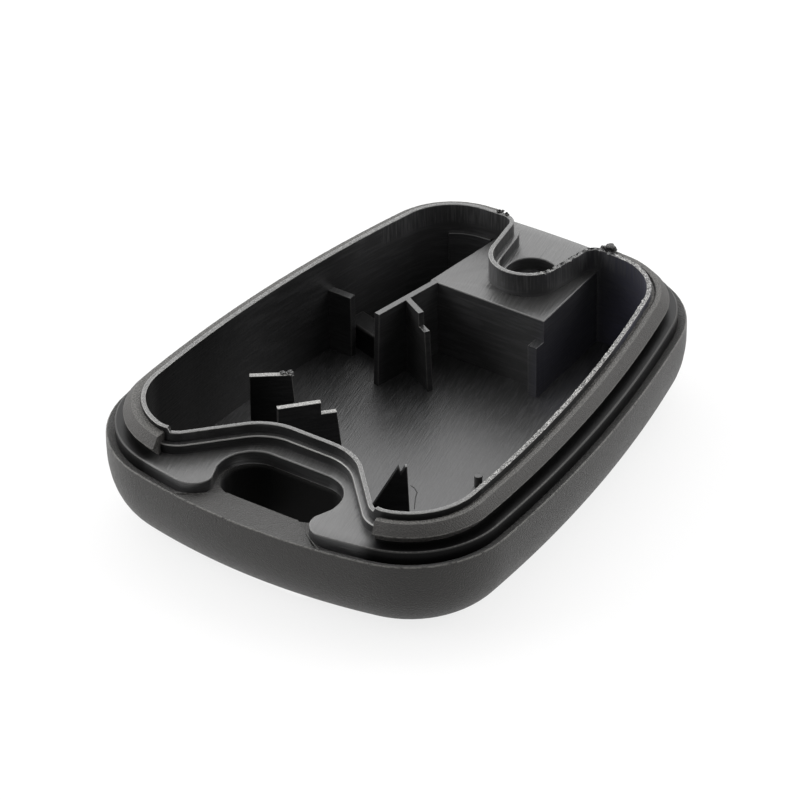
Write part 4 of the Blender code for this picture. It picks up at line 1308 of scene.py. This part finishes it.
class KEYCASE_OT_ribs(bpy.types.Operator):
    """Build the ribs, the stop block, the pip, the shelf and the mark in the tray"""

    bl_idname = "keycase.ribs"
    bl_label = "Ribs and stops"

    def rib(self, rib, k, sizes):
        half = rib.thickness / 2
        solid = slab(f"{rib.node}_{k}", [rib_side(rib)], -half, half, sizes.edge)
        upright(solid, rib.foot, rib.heading)
        return solid

    def witness(self):
        """A thin raised line on the floor, where a part of the mould met it."""
        path = [Station(point, point) for point in map(Vector, WITNESS)]
        section = [(reach * WITNESS_HALF, FLOOR + rise * WITNESS_HALF / 2) for reach, rise in SQUARE]
        return strip("witness_mark", path, section, WITNESS_HALF / 4, STEP_STRAY, tray_material())

    def shelf(self, sizes):
        """The step at the foot of the rear pocket's wall."""
        rear = rear_stretch(*SHELF_ENDS)
        outline = offset(rear, PLATE_LAP) + offset(rear, -SHELF_REACH)[::-1]
        return slab("pocket_shelf", [outline], FLOOR - SINK, SHELF_TOP, sizes.edge)

    def execute(self, context):
        sizes = context.scene.case_sizes
        for k, rib in enumerate(RIBS):
            finish_tray(self.rib(rib, k, sizes), rib.node)
        corners = [Vector(corner) for corner in STOP_CORNERS]
        block = slab("stop_block_solid", [corners], FLOOR - SINK, STOP_TOP, STOP_EDGE)
        finish_tray(block, "stop_block", shaded=lambda point: STOP_SHADE)
        finish_tray(self.witness(), shaded=lambda point: 1)
        pip = slab("floor_pip_solid", [circle(PIP, PIP_RADIUS, PIP_SIDES)], FLOOR - SINK, PIP_TOP, sizes.edge)
        finish_tray(pip, "floor_pip")
        finish_tray(self.shelf(sizes))
        return {"FINISHED"}


# Crumbs of flash: where they lie, their size and spacing, and how many places hold one.
CRUMB_FROM = 0.7
CRUMB_LEFT = 0.0074
CRUMB_SIZE = 0.00013
CRUMB_SPACING = 0.00016
CRUMB_SHARE = 0.45
CRUMB_GROWTH = (0.4, 1.0)
RIB_CRUMB = 0.00011
RIB_RUNS = ((0.0003, 0.0038), (0.0003, 0.0040))


def crumb_tree():
    """Geometry nodes that scatter small crumbs of flash along a path."""
    inputs = {"Geometry": "Geometry", "Spacing": "Float", "Size": "Float", "Seed": "Int",
              "Material": "Material"}
    tree, (path, spacing, size, seed, material) = modifier_tree("Crumbs", inputs)
    rail = tree.node("GeometryNodeMeshToCurve", {}, {"Mesh": path})
    points = tree.node("GeometryNodeCurveToPoints", {"mode": "LENGTH"}, {"Curve": rail, "Length": spacing})
    odds = {"Probability": CRUMB_SHARE, "Seed": seed}
    chosen = tree.node("FunctionNodeRandomValue", {"data_type": "BOOLEAN"}, odds, 3)
    turns = {"Min": (0, 0, 0), "Max": (2 * math.pi,) * 3, "Seed": seed}
    turn = tree.node("FunctionNodeRandomValue", {"data_type": "FLOAT_VECTOR"}, turns)
    growth = {2: CRUMB_GROWTH[0], 3: CRUMB_GROWTH[1], "Seed": seed}
    grow = tree.node("FunctionNodeRandomValue", {"data_type": "FLOAT"}, growth, 1)
    crumb = tree.node("GeometryNodeMeshIcoSphere", {}, {"Radius": size, "Subdivisions": 1})
    sockets = {"Points": points, "Selection": chosen, "Instance": crumb, "Rotation": turn, "Scale": grow}
    scattered = tree.node("GeometryNodeInstanceOnPoints", {}, sockets)
    return close_tree(tree, scattered, material)


class KEYCASE_OT_flash(bpy.types.Operator):
    """Scatter crumbs of moulding flash along the rough parts of the lip"""

    bl_idname = "keycase.flash"
    bl_label = "Moulding flash"

    def runs(self, sizes):
        """The runs of crumbs: their name, points and size."""
        rough = stretch(basin_path(), lambda s: roughness_at(s.point) > CRUMB_FROM and s.point.x > CRUMB_LEFT)
        middle = offset(rough, sizes.lip / 2)
        lip = [(*p, lip_level(s.point, sizes) - CRUMB_SIZE) for p, s in zip(middle, rough)]
        runs = [("lip_crumbs", lip, CRUMB_SIZE)]
        for k, (rib, ends) in enumerate(zip(RIBS, RIB_RUNS)):
            line = [rib.foot + towards(rib.heading) * reach for reach in ends]
            runs.append((f"rib_crumbs_{k}", at_level(line, BOARD_STOP - RIB_CRUMB / 2), RIB_CRUMB))
        return runs

    def execute(self, context):
        seed = context.scene.stage_looks.seed
        for name, points, size in self.runs(context.scene.case_sizes):
            crumbs = wire_object(name, points, False)
            values = {"Spacing": CRUMB_SPACING, "Size": size, "Seed": seed, "Material": tray_material()}
            run_nodes(crumbs, bpy.data.node_groups.get("Crumbs") or crumb_tree(), values)
            finish_tray(crumbs)
        for k, (name, place, size, ragged) in enumerate(BURRS):
            finish_tray(burr(name, place, size, ragged, k + seed), shaded=lambda point: point.y > 0)
        return {"FINISHED"}


# Lumps of flash: their name, middle, size and raggedness.
BURRS = (
    ("rear_burr", (0.0061, 0.02467, 0.0120), 0.00062, 0.2),
    ("rear_burr_shoulder", (0.0053, 0.02465, 0.0117), 0.00038, 0.3),
    ("rear_burr_toe", (0.0067, 0.02445, 0.0118), 0.00034, 0.3),
    ("left_burr", (-0.0064, 0.0241, 0.0121), 0.00028, 0.5),
    ("left_burr_crumb", (-0.0055, 0.0241, 0.01215), 0.00022, 0.5),
    ("left_burr_speck", (-0.0060, 0.0242, 0.0124), 0.00013, 0.4),
    ("side_rib_burr", (-0.00965, -0.0067, 0.00945), 0.00036, 0.5),
    ("side_rib_crumb", (-0.0102, -0.0071, 0.00955), 0.00022, 0.5),
)
# A lump's noise is laid twice, the second time finer and weaker. Above its top level a lump is squeezed.
BURR_BUMPS = 1.4
BURR_FINER = 2.7
BURR_WEAKER = 0.5
BURR_DIVISIONS = 4
BURR_TOP = 0.01245
BURR_SQUEEZE = 5


def burr(name, place, size, ragged, seed):
    """A ragged lump of flash."""
    bm = bmesh.new()
    bmesh.ops.create_icosphere(bm, subdivisions=BURR_DIVISIONS, radius=1)
    for vertex in bm.verts:
        spot = vertex.co * BURR_BUMPS + Vector((0, 0, seed))
        vertex.co *= 1 + ragged * (noise.noise(spot) + BURR_WEAKER * noise.noise(spot * BURR_FINER))
        vertex.co = Vector(place) + vertex.co * size
        vertex.co.z = min(vertex.co.z, BURR_TOP + (vertex.co.z - BURR_TOP) / BURR_SQUEEZE)
    return new_object(name, bm)


def white_rays(tree):
    """1 on the rays that see the studio as white: those of the camera, reflections and clear plastic."""
    names = ("Is Camera Ray", "Is Glossy Ray", "Is Transmission Ray")
    camera, glossy, through = (tree.node("ShaderNodeLightPath", {}, {}, name) for name in names)
    return tree.larger(camera, tree.larger(glossy, through))


def floor_material(looks):
    """Pale floor that the camera sees almost as plain white, with the shadow kept."""
    material = bpy.data.materials.new("studio_floor")
    material.use_nodes = True
    tree = Tree(material.node_tree)
    tree.nodes.nodes.clear()
    pale = tree.node("ShaderNodeBsdfDiffuse", {}, {"Color": (*looks.floor, 1)})
    white = tree.node("ShaderNodeEmission", {}, {})
    seen = {0: white_rays(tree) * looks.floor_glow, 1: pale, 2: white}
    surface = tree.nodes.nodes.new("ShaderNodeOutputMaterial").inputs["Surface"]
    tree.feed(surface, tree.node("ShaderNodeMixShader", {}, seen))
    return material


def lit_world(looks):
    """A world that is white to the camera and to reflections, and a dimmer fill for everything else."""
    world = bpy.data.worlds.new("studio")
    bpy.context.scene.world = world
    world.use_nodes = True
    tree = Tree(world.node_tree)
    background = world.node_tree.nodes["Background"]
    tree.feed(background.inputs["Color"], (1, 1, 1, 1))
    tree.feed(background.inputs["Strength"], white_rays(tree) * (1 - looks.fill) + looks.fill)


# Camera, fitted to the photograph: its turns, and the place of the rim's middle in its view.
VIEW_TURN = math.radians(34.82)
VIEW_DROP = math.radians(34.45)
VIEW_ROLL = math.radians(-0.84)
VIEW_DISTANCE = 0.66207
VIEW_ASIDE = 0.0013536
VIEW_BELOW = -0.0019296
CLIP_END = 10
FLOOR_HALF = 3

# Softboxes: their name, bearing, elevation and side. Each has its power in a property of its own.
LAMP_DISTANCE = 0.7
LAMPS = (
    ("back", QUARTER + VIEW_TURN, math.radians(42), 1.0),
    ("left", math.radians(205), math.radians(20), 0.7),
    ("right", math.radians(45), math.radians(20), 0.7),
    ("top", math.radians(-60), math.radians(65), 0.5),
)


def softbox(name, heading, height, size, energy):
    """A square area light that faces the case from a bearing and an elevation."""
    lamp = bpy.data.lights.new(name, "AREA")
    lamp.shape = "SQUARE"
    lamp.size = size
    lamp.energy = energy
    thing = bpy.data.objects.new(name, lamp)
    bpy.context.scene.collection.objects.link(thing)
    away = Vector((*(towards(heading) * math.cos(height)), math.sin(height)))
    turn = away.to_track_quat("Z", "Y").to_matrix().to_4x4()
    thing.matrix_world = Matrix.Translation(away * LAMP_DISTANCE) @ turn


def place_camera(looks):
    """Set the camera at the photograph's angle."""
    right = towards(VIEW_TURN).to_3d()
    forward = (towards(VIEW_TURN + QUARTER) * math.cos(VIEW_DROP)).to_3d()
    forward.z = -math.sin(VIEW_DROP)
    up = right.cross(forward)
    roll = Matrix.Rotation(-VIEW_ROLL, 3, forward)
    right, up = roll @ right, roll @ up
    lens = bpy.data.cameras.new("camera")
    lens.lens = looks.lens
    lens.clip_end = CLIP_END
    camera = bpy.data.objects.new("camera", lens)
    bpy.context.scene.collection.objects.link(camera)
    place = Vector((0, 0, RIM)) - right * VIEW_ASIDE + up * VIEW_BELOW - forward * VIEW_DISTANCE
    camera.matrix_world = Matrix.Translation(place) @ Matrix((right, up, -forward)).transposed().to_4x4()
    bpy.context.scene.camera = camera


class KEYCASE_OT_stage(bpy.types.Operator):
    """Build the floor, the lights, the world and the camera"""

    bl_idname = "keycase.stage"
    bl_label = "Studio"

    def execute(self, context):
        looks = context.scene.stage_looks
        bm = bmesh.new()
        bmesh.ops.create_grid(bm, size=FLOOR_HALF)
        bmesh.ops.translate(bm, verts=bm.verts, vec=(0, 0, CAD_BOX[0][2]))
        floor = new_object("studio_floor", bm)
        floor.data.materials.append(floor_material(looks))
        lit_world(looks)
        for name, heading, height, size in LAMPS:
            softbox(name + "_light", heading, height, size, getattr(looks, name + "_power"))
        place_camera(looks)
        context.scene.view_settings.view_transform = "Standard"
        return {"FINISHED"}


OPERATORS = (KEYCASE_OT_shell, KEYCASE_OT_tray, KEYCASE_OT_steps, KEYCASE_OT_seat, KEYCASE_OT_ribs,
             KEYCASE_OT_bands, KEYCASE_OT_flash, KEYCASE_OT_stage)


class KEYCASE_PT_build(bpy.types.Panel):
    """Lists the pieces in the order in which they are built"""

    bl_idname = "KEYCASE_PT_build"
    bl_label = "Remote key case"
    bl_space_type = "VIEW_3D"
    bl_region_type = "UI"
    bl_category = "Key case"

    def draw(self, context):
        for operator in OPERATORS:
            self.layout.operator(operator.bl_idname)
        for group in (context.scene.case_sizes, context.scene.case_looks, context.scene.stage_looks):
            box = self.layout.box()
            for name in group.__annotations__:
                box.prop(group, name)


GROUPS = {"case_sizes": CaseSizes, "case_looks": CaseLooks, "stage_looks": StageLooks}


def register():
    for group in (*GROUPS.values(), *OPERATORS, KEYCASE_PT_build):
        bpy.utils.register_class(group)
    for name, group in GROUPS.items():
        setattr(bpy.types.Scene, name, PointerProperty(type=group))


def unregister():
    for name in GROUPS:
        delattr(bpy.types.Scene, name)
    for group in (KEYCASE_PT_build, *reversed(OPERATORS), *GROUPS.values()):
        bpy.utils.unregister_class(group)


def main():
    register()
    for operator in OPERATORS:
        getattr(bpy.ops.keycase, operator.bl_idname.split(".")[1])()


if __name__ == "__main__":
    main()
